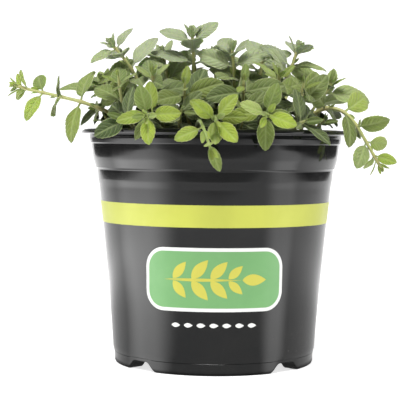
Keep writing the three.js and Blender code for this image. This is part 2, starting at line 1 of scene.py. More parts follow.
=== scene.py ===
"""Potted peppermint: a young mint plant in a round black nursery pot.

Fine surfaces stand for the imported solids: the moulded pot with its printing, the crumbly potting mix
and every leafy stem. Size fields are in millimetres, and become metres where a mesh is made. The
stems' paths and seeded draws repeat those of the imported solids, so a fine leaf lies where its solid is.
"""

import logging
import math
from dataclasses import dataclass, field
from enum import Enum
from typing import Any, Iterator

import bpy
import numpy as np
from mathutils import Matrix, Vector


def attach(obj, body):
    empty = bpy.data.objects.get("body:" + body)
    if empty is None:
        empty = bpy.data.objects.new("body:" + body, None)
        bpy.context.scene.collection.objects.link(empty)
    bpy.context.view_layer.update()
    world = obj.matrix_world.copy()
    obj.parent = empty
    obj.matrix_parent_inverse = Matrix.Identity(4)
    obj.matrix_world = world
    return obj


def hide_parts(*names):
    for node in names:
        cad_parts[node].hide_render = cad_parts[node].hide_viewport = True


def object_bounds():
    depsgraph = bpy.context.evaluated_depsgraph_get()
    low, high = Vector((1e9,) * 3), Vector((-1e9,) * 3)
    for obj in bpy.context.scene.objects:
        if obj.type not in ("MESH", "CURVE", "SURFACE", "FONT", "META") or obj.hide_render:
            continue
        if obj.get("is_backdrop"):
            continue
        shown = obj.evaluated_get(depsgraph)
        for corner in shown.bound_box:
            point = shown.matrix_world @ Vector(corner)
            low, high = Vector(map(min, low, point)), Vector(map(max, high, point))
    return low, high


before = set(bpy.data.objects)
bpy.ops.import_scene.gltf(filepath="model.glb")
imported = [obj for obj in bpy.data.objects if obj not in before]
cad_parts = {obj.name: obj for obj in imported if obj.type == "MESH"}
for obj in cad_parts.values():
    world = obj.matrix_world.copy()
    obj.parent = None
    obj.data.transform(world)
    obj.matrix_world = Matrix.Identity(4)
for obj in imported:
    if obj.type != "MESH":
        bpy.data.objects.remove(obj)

LOG = logging.getLogger("peppermint")
MM = 0.001
UP = np.array([0.0, 0.0, 1.0])
Array = np.ndarray
Pair = tuple[float, float]
Triple = tuple[float, float, float]
Colour = Triple
Node = bpy.types.Node
Socket = bpy.types.NodeSocket
Material = bpy.types.Material
Object = bpy.types.Object


def unit(vectors: Array) -> Array:
    """Each vector at length one."""
    return vectors / np.linalg.norm(vectors, axis=-1, keepdims=True)


def spun(first: Array, second: Array, angle: Array) -> tuple[Array, Array]:
    """Two coordinates after a turn by an angle from the first towards the second."""
    cosine, sine = np.cos(angle), np.sin(angle)
    return first * cosine - second * sine, first * sine + second * cosine


def smooth(value: Array) -> Array:
    """Smooth step: 0 below 0, 1 above 1, and three squares less two cubes between."""
    held = np.clip(value, 0.0, 1.0)
    return held * held * (3 - 2 * held)


def reach_along(points: Array) -> Array:
    """Distance along a line of points from its first to each of them."""
    return np.concatenate([[0], np.cumsum(np.linalg.norm(np.diff(points, axis=0), axis=1))])


class Draws:
    """The same seeded numbers from 0 to 1 on every run."""

    MASK = 0xFFFFFFFF
    STEP = 0x6D2B79F5

    def __init__(self, seed: int) -> None:
        """Starts the row of numbers at a seed."""
        self.state = seed & self.MASK

    def number(self) -> float:
        """The next number: the state steps on by a constant and its bits are mixed twice."""
        self.state = (self.state + self.STEP) & self.MASK
        bits = self.state
        bits = (bits ^ (bits >> 15)) * (bits | 1) & self.MASK
        bits ^= (bits + (bits ^ (bits >> 7)) * (bits | 61)) & self.MASK
        return ((bits ^ (bits >> 14)) & self.MASK) / (self.MASK + 1)

    def wobble(self, reach: float) -> float:
        """A number from -reach to +reach."""
        return (self.number() * 2 - 1) * reach


# Surfaces


@dataclass
class Skin:
    """One closed surface, with the marks that its finishes read.

    place is where a point lies on the surface and look how the surface has grown, with for leaves
    their depth in the plant, which sets painted shade and light. rim marks points on a thin edge,
    where the shading breaks.
    """

    points: Array
    faces: list[Array]
    slots: list[Array]
    place: Array
    look: Array
    rim: Array

    def volume(self) -> float:
        """Signed volume: a sixth of each triangle's triple product, added up."""
        total = 0.0
        for faces in self.faces:
            corners = self.points[faces]
            for k in range(1, faces.shape[1] - 1):
                cross = np.cross(corners[:, k], corners[:, k + 1])
                total += float(np.einsum("ij,ij->", corners[:, 0], cross)) / 6
        return total

    def outward(self) -> "Skin":
        """The same surface with all its faces pointing out."""
        if self.volume() < 0:
            self.faces = [faces[:, ::-1] for faces in self.faces]
        return self


def closed_skin(
    rings: Array,
    poles: Array | None = None,
    place: Array | None = None,
    look: Triple = (0.0, 0.0, 0.0),
    slots: Array | None = None,
    rim: Array | None = None,
) -> Skin:
    """Closed surface over rings of points, all with the same count.

    Four-sided faces join each ring to the next. A fan closes each end on a pole point, and without
    poles the last ring joins the first.

    Args:
        rings: the points, as rings x points round x 3.
        poles: the two end points, or None for a surface that closes on itself.
        place: each point's pattern coordinates, shaped as rings is.
        look: growth marks of the whole surface, and a leaf's depth for its painted shade and light.
        slots: the material slot of each column of faces.
        rim: for each point round a ring, or each point of each ring, whether it is on a thin edge.

    Returns:
        The surface with its faces pointing out.
    """
    count, around = rings.shape[:2]
    place = np.zeros_like(rings) if place is None else place
    slots = np.zeros(around, int) if slots is None else slots
    rim = np.zeros((count, around), bool) if rim is None else np.broadcast_to(rim, (count, around))
    this, following = np.arange(around), (np.arange(around) + 1) % around
    rows = count if poles is None else count - 1
    low = np.arange(rows)[:, None] * around
    high = (np.arange(rows)[:, None] + 1) % count * around
    quads = np.stack([low + this, low + following, high + following, high + this], -1).reshape(-1, 4)
    points, places, edges = rings.reshape(-1, 3), place.reshape(-1, 3), rim.reshape(-1)
    faces, numbers = [quads], [np.tile(slots, rows)]
    if poles is not None:
        first, last = count * around, count * around + 1
        top = (count - 1) * around
        start = np.stack([np.full(around, first), following, this], -1)
        end = np.stack([top + this, top + following, np.full(around, last)], -1)
        points = np.concatenate([points, poles])
        places = np.concatenate([places, place[0].mean(0)[None], place[-1].mean(0)[None]])
        edges = np.concatenate([edges, [False, bool(rim[-1].any())]])
        faces.append(np.concatenate([start, end]))
        numbers.append(np.tile(slots, 2))
    looks = np.tile(np.array(look, float), (len(points), 1))
    return Skin(points, faces, numbers, places, looks, edges).outward()


class Shape:
    """Gathers closed surfaces and makes one object of them."""

    def __init__(self, name: str) -> None:
        """Starts an empty shape with the name of its piece."""
        self.name = name
        self.skins: list[Skin] = []

    def add(self, skin: Skin) -> None:
        """Adds a closed surface."""
        self.skins.append(skin)

    def keep_within(self, box: Array) -> None:
        """Moves points that stand out of a box, given by its lowest and highest corner, onto its sides."""
        for skin in self.skins:
            skin.points = np.clip(skin.points, *box)

    def piece(self, finishes: list[Material]) -> Object:
        """Puts the gathered surfaces into one mesh, in metres, on an object at the origin.

        Args:
            finishes: the materials, in the order of the faces' slots.

        Returns:
            The object, linked to the scene.
        """
        starts = np.cumsum([0] + [len(skin.points) for skin in self.skins])
        faces: list[list[int]] = []
        slots: list[Array] = []
        for start, skin in zip(starts, self.skins):
            for part, numbers in zip(skin.faces, skin.slots):
                faces.extend((part + start).tolist())
                slots.append(numbers)
        mesh = bpy.data.meshes.new(self.name)
        mesh.from_pydata(np.concatenate([skin.points for skin in self.skins]) * MM, [], faces)
        mesh.polygons.foreach_set("material_index", np.concatenate(slots).astype(np.int32))
        mesh.polygons.foreach_set("use_smooth", np.ones(len(faces), bool))
        for name in ("place", "look"):
            values = np.concatenate([getattr(skin, name) for skin in self.skins])
            mark = mesh.attributes.new(name, "FLOAT_VECTOR", "POINT")
            mark.data.foreach_set("vector", values.astype(np.float32).ravel())
        ends = np.empty(len(mesh.edges) * 2, np.int32)
        mesh.edges.foreach_get("vertices", ends)
        rim = np.concatenate([skin.rim for skin in self.skins])[ends.reshape(-1, 2)].all(1)
        mesh.attributes.new("sharp_edge", "BOOLEAN", "EDGE").data.foreach_set("value", rim)
        for finish in finishes:
            mesh.materials.append(finish)
        mesh.update()
        piece = bpy.data.objects.new(self.name, mesh)
        bpy.context.scene.collection.objects.link(piece)
        return piece


def hand_over(piece: Object, slot: str, *nodes: str) -> None:
    """Hands a finished piece to the frame and reports it.

    Args:
        piece: the object, in place.
        slot: the name of a material slot in the record; not used.
        nodes: the CAD nodes that it stands for.
    """
    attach(piece, "root")
    if nodes:
        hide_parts(*nodes)
    triangles = len(piece.data.loops) - 2 * len(piece.data.polygons)
    LOG.info("%s: %d triangles", piece.name, triangles)


def turned(profile: Array, segments: int) -> Array:
    """Rings of points from a profile turned round the Z axis.

    Each point of the profile goes round at its radius and height: x is radius times sine and y
    minus radius times cosine of the angle, which starts at the front, -Y.

    Args:
        profile: radius and height of each point.
        segments: the number of points round.

    Returns:
        The points, as profile points x segments x 3.
    """
    angle = np.arange(segments) * 2 * math.pi / segments
    radius, height = profile[:, :1], profile[:, 1:]
    return np.stack([radius * np.sin(angle), -radius * np.cos(angle), height + 0 * angle], -1)


def filleted(corners: tuple[Triple, ...], spacing: float) -> Array:
    """A profile line with rounded corners.

    A corner with a rounding becomes a quadratic curve that leaves and meets the straight runs that
    far from the corner, and the runs between are divided evenly.

    Args:
        corners: radius, height and rounding of each corner.
        spacing: the longest step on a straight run.

    Returns:
        Radius and height of each point along the line.
    """
    line = [np.array(corners[0][:2])]
    for k in range(1, len(corners)):
        corner, size = np.array(corners[k][:2]), corners[k][2]
        back = unit(line[-1] - corner)
        last = k == len(corners) - 1
        bends = size > 0 and not last
        enter = corner + back * size if bends else corner
        steps = max(1, math.ceil(float(np.linalg.norm(enter - line[-1])) / spacing))
        origin = line[-1]
        line.extend(origin + (enter - origin) * (i + 1) / steps for i in range(steps))
        if bends:
            leave = corner + unit(np.array(corners[k + 1][:2]) - corner) * size
            for t in (0.2, 0.4, 0.6, 0.8, 1.0):
                line.append(enter * (1 - t) ** 2 + corner * 2 * t * (1 - t) + leave * t * t)
    return np.array(line)


# Shader nodes


class Graph:
    """A node tree, with short calls that add nodes and join them."""

    def __init__(self, tree: bpy.types.NodeTree) -> None:
        """Takes a tree to build in."""
        self.tree = tree

    def feed(self, socket: Socket, value: Any) -> None:
        """Joins another node's socket to an input, or sets a constant on it."""
        if isinstance(value, Socket):
            self.tree.links.new(value, socket)
        else:
            socket.default_value = value

    def add(self, kind: str, inputs: dict[Any, Any] | None = None, **options: Any) -> Node:
        """Adds a node.

        Args:
            kind: the node's type.
            inputs: a value or another node's socket for each input, by name or number.
            options: the node's own settings.

        Returns:
            The node.
        """
        node = self.tree.nodes.new(kind)
        for name, value in options.items():
            setattr(node, name, value)
        for key, value in (inputs or {}).items():
            self.feed(node.inputs[key], value)
        return node

    def math(self, operation: str, *values: float | Socket) -> Socket:
        """The result of a Math node."""
        return self.add("ShaderNodeMath", dict(enumerate(values)), operation=operation).outputs[0]

    def plus(self, first: float | Socket, second: float | Socket) -> Socket:
        """The sum of two values."""
        return self.math("ADD", first, second)

    def minus(self, first: float | Socket, second: float | Socket) -> Socket:
        """The first value less the second."""
        return self.math("SUBTRACT", first, second)

    def times(self, first: float | Socket, second: float | Socket) -> Socket:
        """The product of two values."""
        return self.math("MULTIPLY", first, second)

    def step(self, value: Socket, low: float, high: float, start: float = 0.0, end: float = 1.0) -> Socket:
        """A smooth step of a value from start at low to end at high."""
        inputs = {0: value, 1: low, 2: high, 3: start, 4: end}
        return self.add("ShaderNodeMapRange", inputs, interpolation_type="SMOOTHSTEP").outputs[0]

    def blend(self, share: float | Socket, first: Colour | Socket, second: Colour | Socket) -> Socket:
        """A colour between two, at a share of the second."""
        inputs = {0: share}
        for key, colour in ((6, first), (7, second)):
            inputs[key] = colour if isinstance(colour, Socket) else (*colour, 1.0)
        return self.add("ShaderNodeMix", inputs, data_type="RGBA", clamp_factor=True).outputs[2]

    def parts(self, vector: Socket) -> list[Socket]:
        """The three numbers of a vector."""
        return list(self.add("ShaderNodeSeparateXYZ", {0: vector}).outputs)

    def flat(self, x: Socket, y: Socket) -> Socket:
        """A vector from its first two numbers, the third 0."""
        return self.add("ShaderNodeCombineXYZ", {0: x, 1: y}).outputs[0]

    def marks(self, name: str) -> list[Socket]:
        """The three numbers of a surface mark."""
        return self.parts(self.add("ShaderNodeAttribute", attribute_name=name).outputs["Vector"])

    def object_place(self) -> Socket:
        """The point in the object's own coordinates, in metres."""
        return self.add("ShaderNodeTexCoord").outputs["Object"]

    def noise(self, place: Socket, scale: float | Socket, detail: float = 2.0) -> Socket:
        """Smooth noise about a half, at a scale of lumps a metre, with finer layers as detail says."""
        return self.add("ShaderNodeTexNoise", {"Vector": place, "Scale": scale, "Detail": detail}).outputs[0]

    def effect(self, tree: bpy.types.NodeTree, **inputs: float | Socket) -> Node:
        """Places a shared effect with its own values."""
        return self.add("ShaderNodeGroup", inputs, node_tree=tree)

    def relief(self, height: Socket, depth: float, shader: Node) -> None:
        """Joins a height from 0 to 1 to a shader's normal, at a depth in millimetres."""
        inputs = {"Strength": 1.0, "Distance": depth * MM, "Height": height}
        self.feed(shader.inputs["Normal"], self.add("ShaderNodeBump", inputs).outputs[0])


class Effect:
    """A shared shader effect, built once as a node group with named inputs and outputs."""

    name = ""
    inputs: dict[str, str] = {}
    outputs: tuple[str, ...] = ()

    def tree(self) -> bpy.types.NodeTree:
        """The node group, made when it is first asked for."""
        made = bpy.data.node_groups.get(self.name)
        if made:
            return made
        made = bpy.data.node_groups.new(self.name, "ShaderNodeTree")
        for name, kind in self.inputs.items():
            made.interface.new_socket(name, in_out="INPUT", socket_type=kind)
        for name in self.outputs:
            made.interface.new_socket(name, in_out="OUTPUT", socket_type="NodeSocketFloat")
        graph = Graph(made)
        entry = graph.add("NodeGroupInput")
        results = self.build(graph, {socket.name: socket for socket in entry.outputs if socket.name})
        graph.add("NodeGroupOutput", dict(zip(self.outputs, results)))
        return made

    def build(self, graph: Graph, given: dict[str, Socket]) -> tuple[Socket, ...]:
        """Adds the group's nodes and returns its results, in the order of its outputs."""
        raise NotImplementedError


class Mottle(Effect):
    """Soft uneven patches with finer ones in them, from 0 to 1."""

    name = "Mottle"
    inputs = {"Vector": "NodeSocketVector", "Scale": "NodeSocketFloat"}
    outputs = ("Value",)

    FINER = 4.3
    COARSE_SHARE = 0.7
    SPREAD = (0.32, 0.68)

    def build(self, graph: Graph, given: dict[str, Socket]) -> tuple[Socket, ...]:
        """A coarse and a finer noise added by their shares, and the middle of their range spread out."""
        place, scale = given["Vector"], given["Scale"]
        coarse = graph.noise(place, scale)
        fine = graph.noise(place, graph.times(scale, self.FINER), 1.0)
        total = graph.plus(graph.times(coarse, self.COARSE_SHARE), graph.times(fine, 1 - self.COARSE_SHARE))
        return (graph.step(total, *self.SPREAD),)

    def over(self, graph: Graph, place: Socket, scale: float) -> Socket:
        """The patches over a surface, at a scale of lumps a metre."""
        return graph.effect(self.tree(), Vector=place, Scale=scale).outputs[0]


class LeafVeins(Effect):
    """Midrib, curved side veins and the fine net between them, on a leaf's own coordinates.

    A side vein leaves the midrib with a slope and bends more the farther out it is. Left and right
    veins stand staggered. Distances from the midrib are in millimetres. Each step is where it starts
    and ends, with its values there where they aren't 0 and 1.
    """

    name = "Leaf veins"
    inputs = {"Along": "NodeSocketFloat", "Across": "NodeSocketFloat", "Distance": "NodeSocketFloat",
              "Chance": "NodeSocketFloat", "Pairs": "NodeSocketFloat"}
    outputs = ("Veins", "Relief")

    SLOPE = 0.2
    BEND = 0.16
    STAGGER = 0.4
    SIDE_SHARE = 0.8
    SIDE_STEP = (0.02, 0.13, 1.0, 0.0)
    FADE_STEP = (0.45, 1.0, 1.0, 0.35)
    MIDRIB_STEP = (0.18, 0.62, 1.0, 0.0)
    NET_ALONG = 30.0
    NET_ACROSS = 10.0
    NET_SHIFT = 40.0
    NET_STEP = (0.02, 0.16, 0.24, 0.0)
    QUILT_SHARE = 0.75
    QUILT_STEP = (0.0, 0.36)
    BESIDE_STEP = (0.1, 1.0)
    HOLLOW_STEP = (0.0, 0.4)

    def build(self, graph: Graph, given: dict[str, Socket]) -> tuple[Socket, ...]:
        """Side veins lie where (along - slope x width - bend x width squared) x pairs is whole.

        width is the share of the half blade from the midrib. The relief is high between the veins
        and falls to them, with smaller hollows along the net.
        """
        along, across, distance, chance, pairs = given.values()
        width = graph.math("ABSOLUTE", across)
        arc = graph.times(width, graph.math("MULTIPLY_ADD", width, self.BEND, self.SLOPE))
        offset = graph.plus(graph.times(graph.math("GREATER_THAN", across, 0.0), self.STAGGER), chance)
        phase = graph.math("MULTIPLY_ADD", graph.minus(along, arc), pairs, offset)
        away = graph.math("PINGPONG", phase, 0.5)
        branch = graph.step(away, *self.SIDE_STEP)
        fading = graph.step(width, *self.FADE_STEP)
        midrib = graph.step(distance, *self.MIDRIB_STEP)
        shifted = graph.plus(graph.times(along, self.NET_ALONG), graph.times(chance, self.NET_SHIFT))
        net_place = graph.flat(shifted, graph.times(across, self.NET_ACROSS))
        cells = graph.add("ShaderNodeTexVoronoi", {"Vector": net_place, "Scale": 1.0},
                          feature="DISTANCE_TO_EDGE", voronoi_dimensions="2D").outputs["Distance"]
        net = graph.step(cells, *self.NET_STEP)
        sides = graph.times(branch, graph.times(fading, self.SIDE_SHARE))
        veins = graph.math("MAXIMUM", midrib, graph.math("MAXIMUM", sides, net))
        quilt = graph.times(graph.step(away, *self.QUILT_STEP), graph.step(distance, *self.BESIDE_STEP))
        hollows = graph.step(cells, *self.HOLLOW_STEP, 0.0, 1 - self.QUILT_SHARE)
        return veins, graph.plus(graph.times(quilt, self.QUILT_SHARE), hollows)


# Finishes


@dataclass(frozen=True)
class Finish:
    """A surface finish, made as a material with one Principled BSDF."""

    name: str

    def material(self) -> Material:
        """The material, with the shader's inputs painted by the finish."""
        made = bpy.data.materials.new(self.name)
        made.use_nodes = True
        self.paint(Graph(made.node_tree), made.node_tree.nodes["Principled BSDF"])
        return made

    def paint(self, graph: Graph, shader: Node) -> None:
        """Sets and joins the shader's inputs."""
        raise NotImplementedError

    def put(self, graph: Graph, shader: Node, **values: Any) -> None:
        """Feeds the shader's inputs, with underscores for the spaces in their names."""
        for name, value in values.items():
            graph.feed(shader.inputs[name.replace("_", " ")], value)


@dataclass(frozen=True)
class BladeFinish(Finish):
    """One side of a mint leaf: dull green when old, fresh yellow-green when young, paler on its veins.

    Some leaves by chance are duller, and some as pale as their veins. Leaves on top take a painted
    light, a greyish pale that stands in for sheen, and leaves low inside the plant take a painted
    shade, a near black green. The patches are a faint mottle. Each share is how much of a colour is
    mixed in at most. lumps is the mottle's scale and relief the veins' depth in millimetres, sunk
    into the face or raised on it.
    """

    old: Colour = (0.208, 0.25, 0.13)
    fresh: Colour = (0.355, 0.45, 0.052)
    veins: Colour = (0.43, 0.5, 0.25)
    edge: Colour = (0.52, 0.58, 0.3)
    dull: Colour = (0.09, 0.135, 0.07)
    # painted light: the greyish pale of the topmost leaves, standing in for sheen
    pale: Colour = (0.42, 0.46, 0.35)
    # painted shade: the near black green of leaves low inside the plant
    painted_shade: Colour = (0.01, 0.028, 0.003)
    patch: Colour = (0.02, 0.05, 0.008)
    vein_share: float = 0.36
    edge_share: float = 0.4
    dull_share: float = 0.55
    pale_share: float = 0.5
    # shares of the painted light on top leaves and of the painted shade low inside the plant
    painted_light_share: float = 0.64
    painted_shade_share: float = 0.86
    patch_share: float = 0.3
    mottle_share: float = 0.55
    margin: Pair = (0.88, 0.98)
    roughness: float = 0.42
    sunk: bool = True
    relief: float = 0.3
    pairs: float = 6.0
    lumps: float = 330.0

    def paint(self, graph: Graph, shader: Node) -> None:
        """Colours the blade by its freshness, paints light on top leaves and shade on those low inside the
        plant, and raises or sinks its veins.
        """
        along, across, distance = graph.marks("place")
        freshness, chance, depth = graph.marks("look")
        pattern = graph.effect(LeafVeins().tree(), Along=along, Across=across, Distance=distance,
                               Chance=chance, Pairs=self.pairs)
        mottle = Mottle().over(graph, graph.object_place(), self.lumps)
        blade = graph.blend(freshness, self.old, self.fresh)
        blade = graph.blend(graph.step(chance, 0.6, 1.0, 0.0, self.dull_share), blade, self.dull)
        blade = graph.blend(graph.step(chance, 0.0, 0.35, self.pale_share, 0.0), blade, self.veins)
        # painted light: the topmost leaves blended towards the greyish pale
        blade = graph.blend(graph.step(depth, -1.0, 0.0, self.painted_light_share, 0.0), blade, self.pale)
        # painted shade: leaves low inside the plant blended towards near black green
        blade = graph.blend(depth, blade, graph.blend(self.painted_shade_share, blade, self.painted_shade))
        patched = graph.blend(self.patch_share, blade, self.patch)
        blade = graph.blend(graph.times(mottle, self.mottle_share), blade, patched)
        pale = graph.blend(graph.times(freshness, 0.6), self.veins, self.fresh)
        colour = graph.blend(graph.times(pattern.outputs["Veins"], self.vein_share), blade,
                             graph.blend(0.55, pale, self.veins))
        margin = graph.step(graph.math("ABSOLUTE", across), *self.margin)
        colour = graph.blend(graph.times(margin, self.edge_share), colour, self.edge)
        rough = graph.step(mottle, 0.0, 1.0, self.roughness - 0.05, self.roughness + 0.07)
        graph.relief(pattern.outputs["Relief" if self.sunk else "Veins"], self.relief, shader)
        self.put(graph, shader, Base_Color=colour, Roughness=rough, Subsurface_Weight=0.25,
                 Subsurface_Radius=(0.6, 1.0, 0.2), Subsurface_Scale=0.7 * MM, Sheen_Weight=0.08,
                 Sheen_Roughness=0.45, Specular_IOR_Level=0.22)


@dataclass(frozen=True)
class StemFinish(Finish):
    """Soft green stem, browner towards its foot and at its joints, deeper green on fresh stems.

    brown_shares are the brown at the foot and from brown_height up, as a share of the stem's length.
    uneven is what the mottle multiplies them by, and relief is in millimetres.
    """

    green: Colour = (0.42, 0.45, 0.15)
    brown: Colour = (0.4, 0.28, 0.14)
    streak: Colour = (0.5, 0.55, 0.25)
    fresh: Colour = (0.17, 0.26, 0.035)
    lumps: float = 420.0
    streaks_along: float = 9.0
    streaks_around: float = 22.0
    streak_share: float = 0.3
    fresh_share: float = 0.75
    joint_share: float = 0.3
    brown_shares: Pair = (0.75, 0.05)
    brown_height: float = 0.75
    uneven: Pair = (0.6, 1.15)
    roughness: Pair = (0.5, 0.62)
    relief: float = 0.06

    def paint(self, graph: Graph, shader: Node) -> None:
        """Blends the two colours by the height on the stem, with fine lengthwise streaks."""
        height, joint, around = graph.marks("place")
        freshness = graph.marks("look")[0]
        mottle = Mottle().over(graph, graph.object_place(), self.lumps)
        streaks = graph.noise(graph.flat(graph.times(height, self.streaks_along),
                                         graph.times(around, self.streaks_around)), 1.0)
        share = graph.step(height, 0.0, self.brown_height, *self.brown_shares)
        share = graph.plus(share, graph.times(joint, self.joint_share))
        share = graph.times(share, graph.step(mottle, 0.0, 1.0, *self.uneven))
        colour = graph.blend(share, self.green, self.brown)
        colour = graph.blend(graph.step(streaks, 0.45, 0.75, 0.0, self.streak_share), colour, self.streak)
        colour = graph.blend(graph.step(freshness, 0.65, 0.75, 0.0, self.fresh_share), colour, self.fresh)
        graph.relief(streaks, self.relief, shader)
        rough = graph.step(mottle, 0.0, 1.0, *self.roughness)
        self.put(graph, shader, Base_Color=colour, Roughness=rough, Subsurface_Weight=0.2,
                 Subsurface_Radius=(0.8, 1.0, 0.4), Subsurface_Scale=0.5 * MM, Sheen_Weight=0.25)


@dataclass(frozen=True)
class PlasticFinish(Finish):
    """Black moulded plastic with a half gloss, a fine mould grain and a little dust from the nursery.

    lumps, grain and specks are scales a metre. The draw marks are long upright streaks, so their
    scale is low along Z, and marked is the roughness they add. Dust lies thickest below
    dusty_height, in metres. relief is in millimetres.
    """

    black: Colour = (0.0055, 0.0058, 0.006)
    dust: Colour = (0.2, 0.18, 0.15)
    lumps: float = 38.0
    grain: float = 2600.0
    specks: float = 420.0
    draw_marks: Triple = (900.0, 900.0, 35.0)
    dusty_height: float = 0.03
    film: float = 0.015
    roughness: Pair = (0.08, 0.12)
    marked: float = 0.02
    relief: float = 0.004

    def paint(self, graph: Graph, shader: Node) -> None:
        """Fine grain and faint vertical draw marks in the gloss, dust low down and in patches."""
        place = graph.object_place()
        patches = Mottle().over(graph, place, self.lumps)
        grain = graph.noise(place, self.grain, 1.0)
        drawn = graph.add("ShaderNodeMapping", {"Vector": place, "Scale": self.draw_marks}).outputs[0]
        marks = graph.noise(drawn, 1.0)
        cells = graph.add("ShaderNodeTexVoronoi", {"Vector": place, "Scale": self.specks})
        low = graph.step(graph.parts(place)[2], 0.0, self.dusty_height, 1.0, 0.25)
        specks = graph.step(cells.outputs["Distance"], 0.02, 0.1, 0.5, 0.0)
        dusty = graph.times(specks, graph.times(graph.step(patches, 0.5, 1.0), low))
        colour = graph.blend(graph.plus(dusty, graph.times(patches, self.film)), self.black, self.dust)
        rough = graph.plus(graph.step(patches, 0.0, 1.0, *self.roughness),
                           graph.plus(graph.step(marks, 0.3, 0.8, 0.0, self.marked), dusty))
        graph.relief(graph.plus(graph.times(grain, 0.5), graph.times(marks, 0.5)), self.relief, shader)
        self.put(graph, shader, Base_Color=colour, Roughness=rough, Specular_IOR_Level=0.5)


@dataclass(frozen=True)
class InkFinish(Finish):
    """Opaque screen-printing ink, slightly uneven where it lies thinner."""

    colour: Colour
    thin: Colour
    lumps: float = 90.0
    pits: float = 1500.0
    thin_share: float = 0.35
    pit_share: float = 0.2
    roughness: Pair = (0.3, 0.38)
    relief: float = 0.01

    def paint(self, graph: Graph, shader: Node) -> None:
        """Blends full and thinner ink in soft patches, with a fine pitted surface."""
        place = graph.object_place()
        patches, pits = Mottle().over(graph, place, self.lumps), graph.noise(place, self.pits)
        share = graph.times(patches, self.thin_share)
        share = graph.plus(share, graph.step(pits, 0.55, 0.8, 0.0, self.pit_share))
        graph.relief(pits, self.relief, shader)
        self.put(graph, shader, Base_Color=graph.blend(share, self.colour, self.thin),
                 Roughness=graph.step(patches, 0.0, 1.0, *self.roughness))


@dataclass(frozen=True)
class CrumbFinish(Finish):
    """Potting mix: damp peat, bark and fibre in uneven browns, with grains at a scale a metre."""

    dark: Colour
    light: Colour
    grains: float
    fibre_share: float = 0.6
    roughness: Pair = (0.7, 0.95)
    relief: float = 0.35

    def paint(self, graph: Graph, shader: Node) -> None:
        """Dark and lighter grains by cells, with noise between them and rough broken relief."""
        place = graph.object_place()
        cells = graph.add("ShaderNodeTexVoronoi", {"Vector": place, "Scale": self.grains})
        tint = graph.parts(cells.outputs["Color"])[0]
        fibres = Mottle().over(graph, place, self.grains * self.fibre_share)
        share = graph.times(graph.step(tint, 0.35, 1.0), graph.step(fibres, 0.1, 1.0, 0.3, 1.0))
        graph.relief(graph.plus(cells.outputs["Distance"], fibres), self.relief, shader)
        self.put(graph, shader, Base_Color=graph.blend(share, self.dark, self.light),
                 Roughness=graph.step(fibres, 0.0, 1.0, *self.roughness), Specular_IOR_Level=0.3)


@dataclass(frozen=True)
class FloorFinish(Finish):
    """Plain pale studio floor, lit a little from within so that shadows on it stay light."""

    pale: Colour = (0.6, 0.6, 0.6)
    shade: float = 0.97
    lumps: float = 9.0
    glow: float = 0.71

    def paint(self, graph: Graph, shader: Node) -> None:
        """A matt surface with a trace of unevenness."""
        patches = Mottle().over(graph, graph.object_place(), self.lumps)
        shaded = tuple(self.shade * part for part in self.pale)
        self.put(graph, shader, Base_Color=graph.blend(patches, self.pale, shaded), Roughness=0.8,
                 Emission_Color=(1.0, 1.0, 1.0, 1.0), Emission_Strength=self.glow)


class Inks(Enum):
    """The inks of the pot's printing: full colour and the thinner colour."""

    STRIPE = InkFinish("ink_stripe", (0.53, 0.56, 0.08), (0.48, 0.51, 0.065))
    WHITE = InkFinish("ink_white", (0.76, 0.77, 0.74), (0.7, 0.71, 0.68))
    GREEN = InkFinish("ink_green", (0.165, 0.375, 0.14), (0.135, 0.33, 0.12))
    YELLOW = InkFinish("ink_yellow", (0.56, 0.52, 0.075), (0.5, 0.47, 0.065))


# Pot


